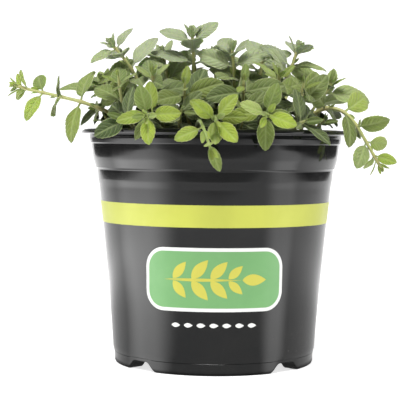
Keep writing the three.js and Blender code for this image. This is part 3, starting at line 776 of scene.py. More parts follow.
@dataclass
class Pot:
    """The moulded nursery pot: rolled rim, two nesting steps with a hollow below each, tapered wall,
    base band, and four feet with a drainage arch and hole between them.

    The profile runs from the axis under the base, out to the foot, up the wall, over the rim and down
    the inside to the axis. Each corner is a radius, a height and a rounding. The body and the collar
    between the steps are smooth runs: the radius at the foot and the highest height, with the wall's
    lean in degrees at some heights, the lowest first. The steps are the longest along each part of the
    profile. arch_inside is the height up to which the arches lift the inside, and how much wider
    they are there. The holes are cut at the arches' inner ends.
    """

    underside: tuple = ((0, 0, 0), (17, 0, 0.6), (18.4, 4, 0.6), (35, 4, 0.6), (36.4, 0, 0.6), (40, 0, 0))
    foot: tuple = ((40, 0, 0), (44.2, 0, 1.2), (44.45, 4.5, 0.8), (44.88, 6.0, 1.0), (45.1, 7.4, 0))
    body: tuple = (45.1, 86.45)
    body_lean: tuple = ((7.4, 4.0), (12, 4.0), (20, 4.9), (36, 4.9), (44, 5.5), (58, 5.6), (66, 6.2),
                        (77.8, 6.1), (79.4, 10.5), (80.6, 10.5), (81.7, 5.8), (86.5, 5.7))
    lower_step: tuple = ((53.28, 86.45, 0.15),)
    collar: tuple = (53.38, 97.3)
    collar_lean: tuple = ((86.9, 15.5), (89.4, 15.5), (91.0, 8.2), (92.5, 7.5), (94, 7.1), (95.2, 6.0),
                          (97.3, 5.9))
    rim: tuple = (
        (55.7, 97.3, 0.15), (55.75, 97.6, 0.1), (56.05, 99.4, 0.3), (56.1, 101.15, 0.3),
        (59.3, 101.3, 0.2), (59.65, 101.75, 0.25), (59.5, 102.5, 0.3),
        (58.3, 103.25, 0.6), (56.3, 103.5, 0.4), (54.9, 102.6, 0.5),
        (53.4, 96.6, 1.2), (49.8, 73, 1.2), (43.7, 12, 0))
    inside: tuple = ((43.7, 12, 0), (43.1, 4.4, 0.8), (42.3, 1.2, 0.6), (37.6, 1.2, 0.5), (36.2, 5.2, 0.5),
                     (17.2, 5.2, 0.5), (15.8, 1.2, 0.5), (0, 1.2, 0))
    body_step: float = 1.0
    collar_step: float = 0.5
    foot_step: float = 2.0
    rim_step: float = 6.0
    floor_step: float = 2.5
    segments: int = 300
    arch_turn: float = 44.5
    arch_count: int = 4
    arch_height: float = 4.0
    arch_top_half: float = 4.2
    arch_foot_half: float = 8.6
    arch_inner: float = 30.0
    arch_steepness: float = 0.9
    arch_blend: float = 1.5
    arch_inside: Pair = (9.2, 0.8)
    band_height: float = 5.8
    hole_radius: float = 2.8
    hole_place: float = 36.8
    hole_reach: Pair = (-3.0, 10.0)
    hole_sides: int = 40
    floor: float = 1.2

    def arch_aims(self) -> Array:
        """The direction of each drainage arch from the axis."""
        turns = np.radians(self.arch_turn + np.arange(self.arch_count) * 360 / self.arch_count)
        return np.stack([np.sin(turns), -np.cos(turns)], -1)

    def arched(self, points: Array, base: float, top: float, grown: float) -> Array:
        """Lifts points into the drainage arches.

        The lift is the arch's height across its middle and falls to nothing at its feet by a smooth
        step. A point takes all of it at the base height and none at the top height, so edges stay
        rounded.

        Args:
            points: the points of one part of the profile, turned.
            base: the height that is lifted fully.
            top: the height that stays.
            grown: how much wider the arch is, for the inside.

        Returns:
            The lifted points.
        """
        x, y, z = np.moveaxis(points, -1, 0)
        lift = np.zeros_like(z)
        for aim in self.arch_aims():
            along, beside = x * aim[0] + y * aim[1], np.abs(x * aim[1] - y * aim[0])
            slope = (self.arch_foot_half + grown - beside) / (self.arch_foot_half - self.arch_top_half)
            reach = smooth((along - self.arch_inner + grown) / self.arch_blend + 1)
            lift = np.maximum(lift, self.arch_height * smooth(slope * self.arch_steepness) * reach)
        share = np.clip((top - z) / (top - base), 0, 1)
        return np.stack([x, y, z + lift * share], -1)

    def run(self, ends: Pair, lean: tuple, spacing: float) -> Array:
        """A smooth run of the wall.

        The lean passes from each given value to the next by a smooth step, and the radius grows by the
        sum of the lean's tangents.

        Args:
            ends: the radius at the foot and the highest height.
            lean: heights, the foot's first, and the wall's lean there in degrees.
            spacing: about the longest step up the wall. A span between given heights has four at least.

        Returns:
            Radius and height of each point, from the bottom up.
        """
        radius, high = ends
        knots, values = np.array(lean, float).T
        spans = [np.linspace(low, top, max(4, math.ceil((top - low) / spacing)), endpoint=False)
                 for low, top in zip(knots, np.minimum(knots[1:], high))]
        heights = np.concatenate([*spans, [high]])
        place = np.interp(heights, knots, np.arange(len(knots)))
        k = np.minimum(place.astype(int), len(knots) - 2)
        degrees = values[k] + (values[k + 1] - values[k]) * smooth(place - k)
        rise = np.tan(np.radians(degrees))
        grown = np.concatenate([[0.0], np.cumsum((rise[1:] + rise[:-1]) / 2 * np.diff(heights))])
        return np.stack([radius + grown, heights], -1)

    def wall_line(self) -> Array:
        """Radius and height up the outside of the body, below the steps."""
        return self.run(self.body, self.body_lean, self.body_step)

    def wall(self) -> Array:
        """Radius and height up the whole outside, over the rim and down to the foot of the inside."""
        body, collar = self.wall_line(), self.run(self.collar, self.collar_lean, self.collar_step)
        step = ((*body[-1], 0.1), *self.lower_step, (*collar[0], 0))
        rim = ((*collar[-1], 0), *self.rim)
        parts = (filleted(self.foot, self.foot_step), body, filleted(step, self.foot_step), collar,
                 filleted(rim, self.rim_step))
        return np.concatenate([part[:-1] for part in parts])

    def skin(self) -> Skin:
        """The pot's whole surface, the profile turned and its lower parts lifted into the arches."""
        under = turned(filleted(self.underside, self.floor_step)[1:-1], self.segments)
        under = self.arched(under, 0, self.arch_height, 0)
        wall = self.arched(turned(self.wall(), self.segments), 0, self.band_height, 0)
        inner = filleted(self.inside, self.floor_step)[:-1]
        inner = self.arched(turned(inner, self.segments), self.floor, *self.arch_inside)
        poles = np.array([[0, 0, 0], [0, 0, self.floor]], float)
        return closed_skin(np.concatenate([under, wall, inner]), poles)

    def drain_cutter(self) -> Object:
        """Four round bars that cut the drain holes, each a circle carried up a line."""
        shape = Shape("drain_cutter")
        for aim in self.arch_aims():
            bar = turned(np.array([(self.hole_radius, z) for z in self.hole_reach]), self.hole_sides)
            bar[..., :2] += aim * self.hole_place
            poles = np.array([[*aim * self.hole_place, z] for z in self.hole_reach])
            shape.add(closed_skin(bar, poles))
        return shape.piece([])

    def build(self, plastic: Material) -> Object:
        """Makes the pot with its drain holes cut.

        Args:
            plastic: the pot's finish.

        Returns:
            The pot.
        """
        shape = Shape("nursery_pot")
        shape.add(self.skin())
        piece = shape.piece([plastic])
        cutter = self.drain_cutter()
        cut = piece.modifiers.new("Drain holes", "BOOLEAN")
        cut.operation, cut.solver, cut.object = "DIFFERENCE", "EXACT", cutter
        bpy.context.view_layer.update()
        evaluated = piece.evaluated_get(bpy.context.evaluated_depsgraph_get())
        uncut, piece.data = piece.data, bpy.data.meshes.new_from_object(evaluated)
        piece.modifiers.clear()
        bpy.data.meshes.remove(uncut)
        piece.data.name = piece.name
        bpy.data.objects.remove(cutter)
        hand_over(piece, "pot_plastic", "pot")
        return piece


@dataclass
class Printing:
    """Ink on the wall: a stripe all round, and in front a plain panel with a sprig and a row of leaves.

    A print is a thin closed sheet that follows the wall, with its underside sunk just into the
    plastic. layers are the heights of the first, second and third ink over the wall. The sprig's
    stalk and end leaf are a foot, a length and a width, and each pair of its leaves a foot and a
    length.
    """

    wall: Array
    stripe: Pair = (62.6, 71.9)
    panel_height: float = 40.8
    panel_half: Pair = (30.5, 13.4)
    panel_corner: float = 8.5
    border: float = 1.5
    row_height: float = 21.6
    row_half: float = 16.2
    row_count: int = 7
    row_leaf: Pair = (3.8, 1.9)
    sprig_stalk: Triple = (-21.5, 33, 1.3)
    sprig_pairs: tuple = ((-17.5, 9.0), (-9.5, 10.5), (-1.5, 10.0), (6.0, 8.0))
    sprig_end: Triple = (11.8, 10.5, 4.8)
    sprig_turn: float = 52.0
    sprig_closing: float = 3.0
    sprig_gap: float = 0.5
    leaf_slimness: float = 0.44
    layers: Triple = (0.05, 0.09, 0.13)
    sunk: float = 0.05
    stripe_rows: int = 9
    columns: int = 360
    panel_rings: int = 14
    panel_points: int = 160

    def on_wall(self, flat: Array, proud: float) -> Array:
        """Carries flat points onto the wall.

        A point's height stays, and its distance from the middle becomes an arc of the same length
        at the wall's radius there.

        Args:
            flat: distance to the right and height of each point.
            proud: how far the points stand off the wall.

        Returns:
            The points in space.
        """
        radius = np.interp(flat[..., 1], self.wall[:, 1], self.wall[:, 0])
        angle = flat[..., 0] / radius
        out = radius + proud
        return np.stack([out * np.sin(angle), -out * np.cos(angle), flat[..., 1]], -1)

    def patch(self, outline: Array, proud: float, rows: int = 4) -> Skin:
        """A print with an outline: rings shrink from it to the middle, over and under.

        Args:
            outline: distance to the right and height of each point of the outline.
            proud: the ink's height over the wall.
            rows: the number of rings.

        Returns:
            The closed sheet.
        """
        middle = outline.mean(0)
        shares = np.arange(1, rows + 1)[:, None, None] / rows
        flat = middle + (outline - middle) * shares
        over, under = self.on_wall(flat, proud), self.on_wall(flat[::-1], -self.sunk)
        poles = np.array([self.on_wall(middle, proud), self.on_wall(middle, -self.sunk)])
        rim = np.zeros((2 * rows, len(outline)), bool)
        rim[rows - 1] = True
        return closed_skin(np.concatenate([over, under]), poles, rim=rim)

    def rounded_panel(self, inset: float) -> Array:
        """Outline of a rectangle with a quarter circle at each corner, its points evenly spaced."""
        turn = np.linspace(0, 2 * math.pi, 128, endpoint=False)
        radius = self.panel_corner - inset
        core = np.array(self.panel_half) - self.panel_corner
        corner = np.stack([np.sign(np.cos(turn)), np.sign(np.sin(turn))], -1) * core
        arc = np.stack([np.cos(turn), np.sin(turn)], -1) * radius
        ring = corner + arc
        closed = np.vstack([ring, ring[:1]])
        steps = reach_along(closed)
        even = np.linspace(0, steps[-1], self.panel_points, endpoint=False)
        outline = np.stack([np.interp(even, steps, closed[:, k]) for k in (0, 1)], -1)
        return outline + (0, self.panel_height)

    def leaf_outline(self, foot: Pair, turn: float, length: float, width: float) -> Array:
        """Outline of a pointed leaf: half width is the sine of pi times a power of the length's share."""
        share = np.linspace(0, 1, 15)
        half = width / 2 * np.sin(math.pi * share ** 0.85) ** 0.9
        along = np.concatenate([share, share[-2:0:-1]]) * length
        across = np.concatenate([half, -half[-2:0:-1]])
        aim = np.array([math.cos(math.radians(turn)), math.sin(math.radians(turn))])
        beside = np.array([-aim[1], aim[0]])
        return np.array(foot) + along[:, None] * aim + across[:, None] * beside

    def stripe_skin(self) -> Skin:
        """The stripe: a band's cross-section turned all the way round, closed on itself."""
        low, high = self.stripe
        heights = np.linspace(low, high, self.stripe_rows)
        radius = np.interp(heights, self.wall[:, 1], self.wall[:, 0])
        over = np.stack([radius + self.layers[0], heights], -1)
        under = np.stack([radius - self.sunk, heights], -1)[::-1]
        rings = turned(np.concatenate([over, under]), self.columns)
        rim = np.zeros(rings.shape[:2], bool)
        rim[[0, self.stripe_rows - 1]] = True
        return closed_skin(rings, rim=rim)

    def sprig(self) -> Iterator[Array]:
        """Outlines of the panel's sprig: a level stalk with pairs of leaves and one at its end."""
        y, (x, length, width) = self.panel_height, self.sprig_stalk
        yield self.leaf_outline((x, y), 0, length, width)
        for k, (x, length) in enumerate(self.sprig_pairs):
            for side in (1, -1):
                turn = side * (self.sprig_turn - self.sprig_closing * k)
                foot = (x, y + self.sprig_gap * side)
                yield self.leaf_outline(foot, turn, length, length * self.leaf_slimness)
        x, length, width = self.sprig_end
        yield self.leaf_outline((x, y), 0, length, width)

    def build(self, inks: dict[Inks, Material]) -> list[Object]:
        """Makes the prints.

        Args:
            inks: each ink's material.

        Returns:
            The stripe, the panel's white border, its green field, its sprig and the row of leaves.
        """
        row = np.linspace(-self.row_half, self.row_half, self.row_count)
        length, width = self.row_leaf
        leaves = [self.leaf_outline((x - length / 2, self.row_height), 0, length, width) for x in row]
        rings, (first, second, third) = self.panel_rings, self.layers
        prints = (
            ("printed_stripe", Inks.STRIPE, [self.stripe_skin()]),
            ("printed_border", Inks.WHITE, [self.patch(self.rounded_panel(0), first, rings)]),
            ("printed_panel", Inks.GREEN, [self.patch(self.rounded_panel(self.border), second, rings)]),
            ("printed_sprig", Inks.YELLOW, [self.patch(line, third) for line in self.sprig()]),
            ("printed_leaf_row", Inks.WHITE, [self.patch(line, first) for line in leaves]),
        )
        made = []
        for name, ink, skins in prints:
            shape = Shape(name)
            for skin in skins:
                shape.add(skin)
            piece = shape.piece([inks[ink]])
            hand_over(piece, "pot_plastic")
            made.append(piece)
        return made


# Potting mix


@dataclass
class PottingMix:
    """Peat that fills the pot to a low crown, with crumbs and bark chips lying on it.

    side is the profile down the pot's inner wall. Each layer of roughness is a lattice step, a seed
    and a height, and settled is taken off their sum. crumb and chip sizes are the smallest and
    largest half length, and flatness the thickness as a share of it. dents and slimness are the
    ranges of a lump's dented radius and its width, tilt is in radians, and bedding is the share of
    its half thickness that a lump's middle stands over the mix.
    """

    edge_radius: float = 52.9
    edge_height: float = 95.5
    crown_height: float = 101.5
    slope: float = 26.0
    lumps: float = 0.45
    reach: float = 53.3
    bottom: float = 7.6
    side: tuple = ((50.6, 80.0), (47.0, 50.0), (44.6, 25.0), (43.2, 8.4), (42.4, 7.6))
    roughness: tuple = ((3.1, 1.0, 0.9), (1.5, 7.0, 0.6), (0.75, 3.0, 0.3))
    settled: float = 0.9
    rings: int = 96
    segments: int = 240
    crumbs: int = 1000
    crumb_size: Pair = (0.35, 1.5)
    crumb_flatness: float = 0.75
    chips: int = 170
    chip_size: Pair = (1.0, 3.4)
    chip_flatness: float = 0.28
    fineness: float = 2.5
    dents: Pair = (0.72, 1.15)
    slimness: Pair = (0.45, 0.9)
    tilt: float = 0.3
    bedding: float = 0.4
    margin: float = 2.2
    seed: int = 31

    def height(self, x: Array, y: Array) -> Array:
        """Height of the mix: a smooth step up from the wall to the crown, plus low crossed waves."""
        rise = smooth((self.edge_radius - np.hypot(x, y)) / self.slope)
        waves = np.sin(0.43 * x + 1.3) * np.cos(0.51 * y) + 0.6 * np.sin(0.93 * x - 0.71 * y)
        return self.edge_height + (self.crown_height - self.edge_height) * rise + self.lumps * waves

    def grain(self, x: Array, y: Array, step: float, seed: float) -> Array:
        """Noise from 0 to 1: a seeded value at each corner of a square lattice, blended smoothly."""
        along, beside, spread = 127.1, 311.7, 43758.5453
        i, j = np.floor(x / step), np.floor(y / step)
        u, v = smooth(x / step - i), smooth(y / step - j)

        def corner(a: Array, b: Array) -> Array:
            """The value at a lattice corner: the fraction of a large sine."""
            value = np.sin(a * along + b * beside + seed) * spread
            return value - np.floor(value)

        low = corner(i, j) * (1 - u) + corner(i + 1, j) * u
        high = corner(i, j + 1) * (1 - u) + corner(i + 1, j + 1) * u
        return low * (1 - v) + high * v

    def body(self) -> Skin:
        """The mix as one closed surface: its crumbly top on polar rings, its side and its bottom."""
        radius = np.linspace(0.4, self.reach, self.rings) ** 0.8 * self.reach ** 0.2
        top = turned(np.stack([radius, 0 * radius], -1), self.segments)
        x, y = top[..., 0], top[..., 1]
        rough = sum(self.grain(x, y, step, seed) * height for step, seed, height in self.roughness)
        top[..., 2] = self.height(x, y) + rough - self.settled
        side = turned(np.array(self.side), self.segments)
        poles = np.array([[0, 0, top[0, :, 2].mean()], [0, 0, self.bottom]])
        return closed_skin(np.concatenate([top, side]), poles)

    def scattered(self, count: int, size: Pair, flat: float, slot: int, seed: int) -> Skin:
        """Many small lumps on the mix, each a twenty-sided ball, stretched, dented and turned.

        Args:
            count: the number of lumps.
            size: the smallest and largest half length.
            flat: thickness as a share of the length.
            slot: their material slot.
            seed: the seed of their draws.

        Returns:
            One skin with all the lumps.
        """
        draw = np.random.default_rng(seed)
        golden = (1 + 5 ** 0.5) / 2
        corners = np.array([(-1, golden, 0), (1, golden, 0), (-1, -golden, 0), (1, -golden, 0),
                            (0, -1, golden), (0, 1, golden), (0, -1, -golden), (0, 1, -golden),
                            (golden, 0, -1), (golden, 0, 1), (-golden, 0, -1), (-golden, 0, 1)])
        faces = np.array([(0, 11, 5), (0, 5, 1), (0, 1, 7), (0, 7, 10), (0, 10, 11), (1, 5, 9), (5, 11, 4),
                          (11, 10, 2), (10, 7, 6), (7, 1, 8), (3, 9, 4), (3, 4, 2), (3, 2, 6), (3, 6, 8),
                          (3, 8, 9), (4, 9, 5), (2, 4, 11), (6, 2, 10), (8, 6, 7), (9, 8, 1)])
        balls = unit(corners) * draw.uniform(*self.dents, (count, 12, 1))
        half = size[0] + (size[1] - size[0]) * draw.random(count) ** self.fineness
        wide = half * draw.uniform(*self.slimness, count)
        balls = balls * np.stack([half, wide, half * flat], -1)[:, None]
        turn, tilt = draw.uniform(0, 2 * math.pi, count), draw.normal(0, self.tilt, count)
        x, y, z = np.moveaxis(balls, -1, 0)
        z, x = spun(z, x, tilt[:, None])
        x, y = spun(x, y, turn[:, None])
        away = (self.reach - self.margin) * np.sqrt(draw.random(count))
        angle = draw.uniform(0, 2 * math.pi, count)
        px, py = away * np.cos(angle), away * np.sin(angle)
        pz = self.height(px, py) + half * flat * self.bedding
        points = np.stack([x + px[:, None], y + py[:, None], z + pz[:, None]], -1).reshape(-1, 3)
        every = (faces + 12 * np.arange(count)[:, None, None]).reshape(-1, 3)
        zeros = np.zeros_like(points)
        slots = np.full(len(every), slot)
        return Skin(points, [every], [slots], zeros, zeros, np.zeros(len(points), bool)).outward()

    def build(self, peat: Material, bark: Material) -> Object:
        """Makes the potting mix.

        Args:
            peat: finish of the body and the crumbs.
            bark: finish of the chips.

        Returns:
            The potting mix, one piece.
        """
        shape = Shape("crumbly_potting_mix")
        shape.add(self.body())
        shape.add(self.scattered(self.crumbs, self.crumb_size, self.crumb_flatness, 0, self.seed))
        shape.add(self.scattered(self.chips, self.chip_size, self.chip_flatness, 1, self.seed + 1))
        piece = shape.piece([peat, bark])
        hand_over(piece, "potting_mix", "potting_mix")
        return piece


# Mint


class Start(Enum):
    """The direction that a stem's first pair of leaves is counted from."""

    SIDE = (1.0, 0.0, 0.0)
    UP = (0.0, 0.0, 1.0)


@dataclass(frozen=True)
class StemPlan:
    """How one stem grows.

    foot is where it leaves the mix, and via the points it passes, its tip last. bare is its length
    without leaves, turn the first pair's angle and leaf the longest leaf. tips counts the small pairs
    at the tip, whose size is bud. shrink makes leaves smaller to the tip, toward is the side that
    they face, and droop how far they bend. fresh runs from 0, dull green, to 1, yellow-green.
    """

    name: str
    foot: Pair
    via: tuple[Triple, ...]
    pairs: int
    bare: float
    turn: float
    leaf: float
    start: Start = Start.SIDE
    tips: int = 1
    shrink: float = 0.0
    bud: float = 0.45
    toward: Triple | None = None
    droop: float = 1.0
    fresh: float = 0.25


# Sides that leaves face, and the stems: runners, those in front, upper ones, arching ones and the back
FRONT, LEFT, RIGHT = (0.0, -1.0, 0.1), (-0.2, -0.9, 0.1), (0.2, -0.9, 0.1)
STEMS = (
    StemPlan("runner_left", (-36, -6), ((-51, -14, 112.2), (-67, -15, 117), (-78, -15, 119.3),
             (-87, -15, 121.7)), 6, 11, 35, 20, Start.UP, 2, 0.5, toward=FRONT, fresh=0.6),
    StemPlan("runner_right", (34, -8), ((48, -14, 113), (57, -17, 110.5), (62.5, -17, 103.5),
             (67, -17, 96), (71.5, -17, 88.5)), 6, 11, 145, 19, Start.UP, 2, 0.45, toward=FRONT, fresh=0.6),
    StemPlan("front_left", (-22, -28), ((-25, -46, 109), (-28, -64, 108)), 3, 27, 8, 12.6, Start.UP, 2,
             droop=0.35, fresh=0.9),
    StemPlan("front_middle", (1, -31), ((0, -47, 108), (0, -65, 106.5)), 3, 25, 45, 12.4, Start.UP, 2,
             droop=0.35, fresh=0.88),
    StemPlan("front_low", (-8, -39), ((-7, -52, 106.3), (-5.5, -62, 105), (-3.5, -67, 100),
             (-2, -68.5, 95.5)), 1, 28, 10, 12.5, bud=0.85, toward=(0, -1, 0), droop=0.5, fresh=0.75),
    StemPlan("front_right", (18, -28), ((19.5, -46, 109.5), (20.8, -64, 109)), 3, 27, 68, 12.8, Start.UP, 2,
             droop=0.35, fresh=0.95),
    StemPlan("low_left", (-32, -32), ((-36, -40, 105.8), (-38, -46.4, 108)), 3, 3, 4, 15, Start.UP),
    StemPlan("low_right", (31, -32), ((34, -40, 105), (37, -46, 107)), 3, 3, 0, 15, Start.UP),
    StemPlan("middle_left_outer", (-36, -20), ((-40, -26, 114), (-41.3, -31, 125)), 4, 3, 0, 15.5,
             fresh=0.4),
    StemPlan("middle_left", (-23, -15), ((-26, -22, 116), (-27, -29, 127)), 4, 4, 15, 17, tips=2,
             fresh=0.35),
    StemPlan("middle", (-11, -20), ((-13, -32, 113), (-13, -41, 122)), 3, 4, 0, 17, fresh=0.4),
    StemPlan("middle_right", (10, -20), ((11.5, -31, 114), (11.5, -40, 123.5)), 3, 4, -15, 17, fresh=0.4),
    StemPlan("middle_right_inner", (23, -14), ((26, -18, 116), (27, -25, 127)), 4, 4, 30, 17, tips=2,
             fresh=0.35),
    StemPlan("middle_right_outer", (34, -20), ((36, -27, 113), (37, -32, 123)), 4, 3, 0, 15.5, fresh=0.4),
    StemPlan("upper_left", (-28, -3), ((-33, -6, 121), (-38, -8, 131), (-46, -9, 140.5)), 7, 5, 15, 16,
             tips=2, toward=LEFT, fresh=0.3),
    StemPlan("upper_right", (25, -2), ((29, -6, 121), (33, -9, 131), (36, -10, 139.5)), 6, 5, 10, 16.5,
             tips=2, toward=RIGHT, fresh=0.3),
    StemPlan("upper_middle", (-8, -2), ((-9.5, -4, 126), (-10.7, -6, 145.5)), 7, 6, 0, 18, tips=2,
             toward=(0, -0.9, 0.1)),
    StemPlan("upper_middle_right", (8, -4), ((8, -8, 124), (7, -12, 138.5)), 6, 5, 20, 18, tips=2,
             toward=(0, -0.9, 0.1)),
    StemPlan("upper_left_inner", (-18, 8), ((-21, 5, 123), (-24, 2, 137)), 6, 6, 30, 18.5, tips=2,
             toward=(-0.1, -0.9, 0.1)),
    StemPlan("upper_right_inner", (17, 9), ((19, 6, 122), (21, 3, 137)), 6, 6, 30, 18.5, tips=2,
             toward=(0.1, -0.9, 0.1)),
    StemPlan("shoot_left", (-43, -10), ((-48, -17, 108.5),), 2, 2, 20, 14),
    StemPlan("shoot_right", (42, -11), ((47, -18, 108),), 2, 2, 20, 14),
    StemPlan("low_middle_left", (-15, -36), ((-15, -41, 108), (-14, -47, 111.5)), 3, 1, 60, 13),
    StemPlan("low_middle_right", (10, -38), ((11, -42, 108), (11, -48, 111.5)), 3, 1, 30, 13),
    StemPlan("arch_left", (-43, 2), ((-46, 0, 114), (-50, -4, 124)), 3, 8, 10, 21, tips=2, droop=1.3,
             toward=(-0.2, -0.8, 0.5)),
    StemPlan("arch_right", (43, 2), ((46, 0, 114), (51, -4, 124)), 3, 8, -10, 21, tips=2, droop=1.3,
             toward=(0.2, -0.8, 0.5)),
    StemPlan("back_left_outer", (-38, 12), ((-46, 15, 114), (-54, 18, 124)), 4, 5, 0, 17),
    StemPlan("back_right_outer", (38, 12), ((45, 15, 114), (52, 19, 123)), 4, 5, 0, 17),
    StemPlan("back_left", (-27, 26), ((-32, 33, 116), (-37, 40, 127)), 4, 5, 30, 18.5),
    StemPlan("back_right", (27, 26), ((32, 33, 116), (36, 41, 126)), 4, 5, 60, 18.5),
    StemPlan("back_middle", (0, 18), ((0, 19, 123), (-1, 20, 138)), 6, 6, 45, 19, tips=2),
    StemPlan("back_middle_left", (-12, 33), ((-14, 41, 116), (-16, 47, 127)), 4, 5, 0, 18),
    StemPlan("back_middle_right", (13, 33), ((15, 42, 116), (17, 48, 125)), 4, 5, 20, 18),
    StemPlan("back_trailing", (-1, 40), ((-1, 52, 107), (-2, 63, 105), (-3, 71, 98)), 4, 10, 0, 15),
)


@dataclass
class Bud:
    """Where a leaf grows: its distance up the stem, its share of the way, its turn and its number.

    young marks the small leaves at a tip or in an axil, and order counts their pairs, the oldest
    first.
    """

    distance: float
    share: float
    turn: float
    number: int
    young: bool = False
    order: float = 0.0


def through(points: Array, before: Array, places: Array) -> Array:
    """Points on a Catmull-Rom curve through others.

    Between two points the curve is half of a cubic in the share of the way, with the neighbours on
    both sides giving its slopes.

    Args:
        points: the points that the curve passes.
        before: the point that leads into the first.
        places: where on the curve, counted in points from the first.

    Returns:
        One point for each place.
    """
    row = np.vstack([before, points, points[-1]])
    k = np.minimum(len(points) - 2, np.floor(places).astype(int))
    t = (places - k)[:, None]
    a, b, c, d = (row[k + i] for i in range(4))
    return 0.5 * (2 * b + (c - a) * t + (2 * a - 5 * b + 4 * c - d) * t ** 2
                  + (3 * b - a - 3 * c + d) * t ** 3)


class Stem:
    """One stem grown from its plan: its joints, its direction at each, and its length."""

    FOOT_RADIUS = 1.15
    TIP_RADIUS = 0.62
    DEPTH = 11.0
    STEP = 8.0
    TIP_POINT = 1.6
    PATH_STEPS = 64
    SIDES = 16
    SQUARENESS = 3.4
    SKIN_FOOT = 4.0
    SKIN_STEP = 1.3
    SWELL = 0.2
    SWELL_REACH = 1.1
    CROWDING = 1.25
    TUFT_DEPTH = 3
    TUFT_STEP = 1.1
    INNER = 30.0

    def __init__(self, plan: StemPlan, index: int, mix: PottingMix) -> None:
        """Grows the stem straight up out of the mix and through its plan's points, in even joints."""
        self.plan, self.index = plan, index
        x, y = plan.foot
        ground = float(mix.height(np.array(x, float), np.array(y, float)))
        points = np.array([(x, y, ground + 1), *plan.via], float)
        before = points[1] - 2 * np.linalg.norm(points[0] - points[1]) * UP
        places = (len(points) - 1) * np.arange(self.PATH_STEPS + 1) / self.PATH_STEPS
        line = through(points, before, places)
        reach = reach_along(line)
        count = math.ceil(reach[-1] / self.STEP)
        even = reach[-1] * np.arange(count + 1) / count
        above = np.stack([np.interp(even, reach, line[:, k]) for k in range(3)], -1)
        self.joints = np.vstack([[x, y, ground - self.DEPTH], above])
        padded = np.vstack([self.joints[:1], self.joints, self.joints[-1:]])
        self.aims = unit(padded[2:] - padded[:-2])
        self.reach = reach_along(self.joints)
        self.length = float(self.reach[-1])

    def straight(self, distance: float) -> tuple[Array, Array]:
        """Point and direction at a distance, on straight lines between the joints."""
        point = np.array([np.interp(distance, self.reach, self.joints[:, k]) for k in range(3)])
        aim = np.array([np.interp(distance, self.reach, self.aims[:, k]) for k in range(3)])
        return point, unit(aim)

    def curved(self, distances: Array) -> Array:
        """Points at distances, on a smooth curve through the joints."""
        places = np.interp(distances, self.reach, np.arange(len(self.reach)))
        return through(self.joints, 2 * self.joints[0] - self.joints[1], places)

    def square_to(self, aim: Array) -> tuple[Array, Array]:
        """Two directions square to the stem: nearest to the plan's start, and the one across."""
        start = np.array(self.plan.start.value)
        ahead = unit(start - aim * (aim @ start)[..., None])
        return ahead, np.cross(aim, ahead)

    def buds(self) -> list[Bud]:
        """Crossed pairs of buds, closer together towards the tip, then the small pairs of the tip."""
        plan, made = self.plan, []
        start = self.DEPTH + plan.bare
        for k in range(plan.pairs):
            share = k / plan.pairs
            distance = start + (self.length - start) * (1 - (1 - share) ** self.CROWDING)
            for side in (0, 180):
                made.append(Bud(distance, share, plan.turn + 90 * k + side, len(made)))
        for k in range(plan.tips):
            for side in (0, 180):
                turn = plan.turn + 90 * (plan.pairs + k) + side
                distance = self.length - self.TUFT_DEPTH + self.TUFT_STEP * k
                made.append(Bud(distance, 1, turn, len(made), True, k))
        return made

    def light_side(self, point: Array) -> Array:
        """The side that leaves turn their faces to: the plan's, or outwards from the pot's axis."""
        if self.plan.toward:
            return np.array(self.plan.toward)
        flat = np.array([point[0], point[1], 0.0])
        return flat / max(self.INNER, float(np.linalg.norm(flat)))

    def skin(self, joints: list[float], look: Triple) -> Skin:
        """The stem's surface: a square with round corners carried along the curve, closed in a point.

        The square is |cos|^p + |sin|^p = 1, with p its squareness. Its size falls evenly to the tip
        and swells at each pair of leaves by a bell curve.

        Args:
            joints: the distances of the pairs of leaves.
            look: growth marks.

        Returns:
            The closed surface.
        """
        steps = max(12, int(self.length / self.SKIN_STEP))
        distances = np.linspace(self.SKIN_FOOT, self.length, steps)
        points = self.curved(distances)
        aims = unit(np.gradient(points, axis=0))
        ahead, across = self.square_to(aims)
        gaps = np.abs(distances[:, None] - np.array(joints)[None])
        swell = np.exp(-((gaps / self.SWELL_REACH) ** 2)).sum(1)
        size = self.FOOT_RADIUS + (self.TIP_RADIUS - self.FOOT_RADIUS) * distances / self.length
        size = size * (1 - self.SWELL + self.SWELL * swell)
        points = np.vstack([points, points[-1:] + aims[-1:] * self.TIP_POINT * 0.5])
        ahead, across = np.vstack([ahead, ahead[-1:]]), np.vstack([across, across[-1:]])
        size, swell = np.append(size, size[-1] * 0.6), np.append(swell, 0.0)
        angle = np.arange(self.SIDES) * 2 * math.pi / self.SIDES
        power = self.SQUARENESS
        square = (np.abs(np.cos(angle)) ** power + np.abs(np.sin(angle)) ** power) ** (-1 / power)
        turn = math.radians(self.plan.turn) + angle
        flat = np.stack([np.cos(turn), np.sin(turn)], -1) * square[:, None]
        rings = points[:, None] + size[:, None, None] * (
            flat[None, :, :1] * ahead[:, None] + flat[None, :, 1:] * across[:, None])
        place = np.zeros_like(rings)
        place[..., 0] = np.append(distances, self.length)[:, None] / self.length
        place[..., 1] = np.clip(swell, 0, 1)[:, None]
        place[..., 2] = np.abs(angle - math.pi)[None] / math.pi
        tip = self.joints[-1] + self.aims[-1] * self.TIP_POINT
        poles = np.array([points[0] - aims[0], tip])
        return closed_skin(rings, poles, place, look, np.full(self.SIDES, 2))


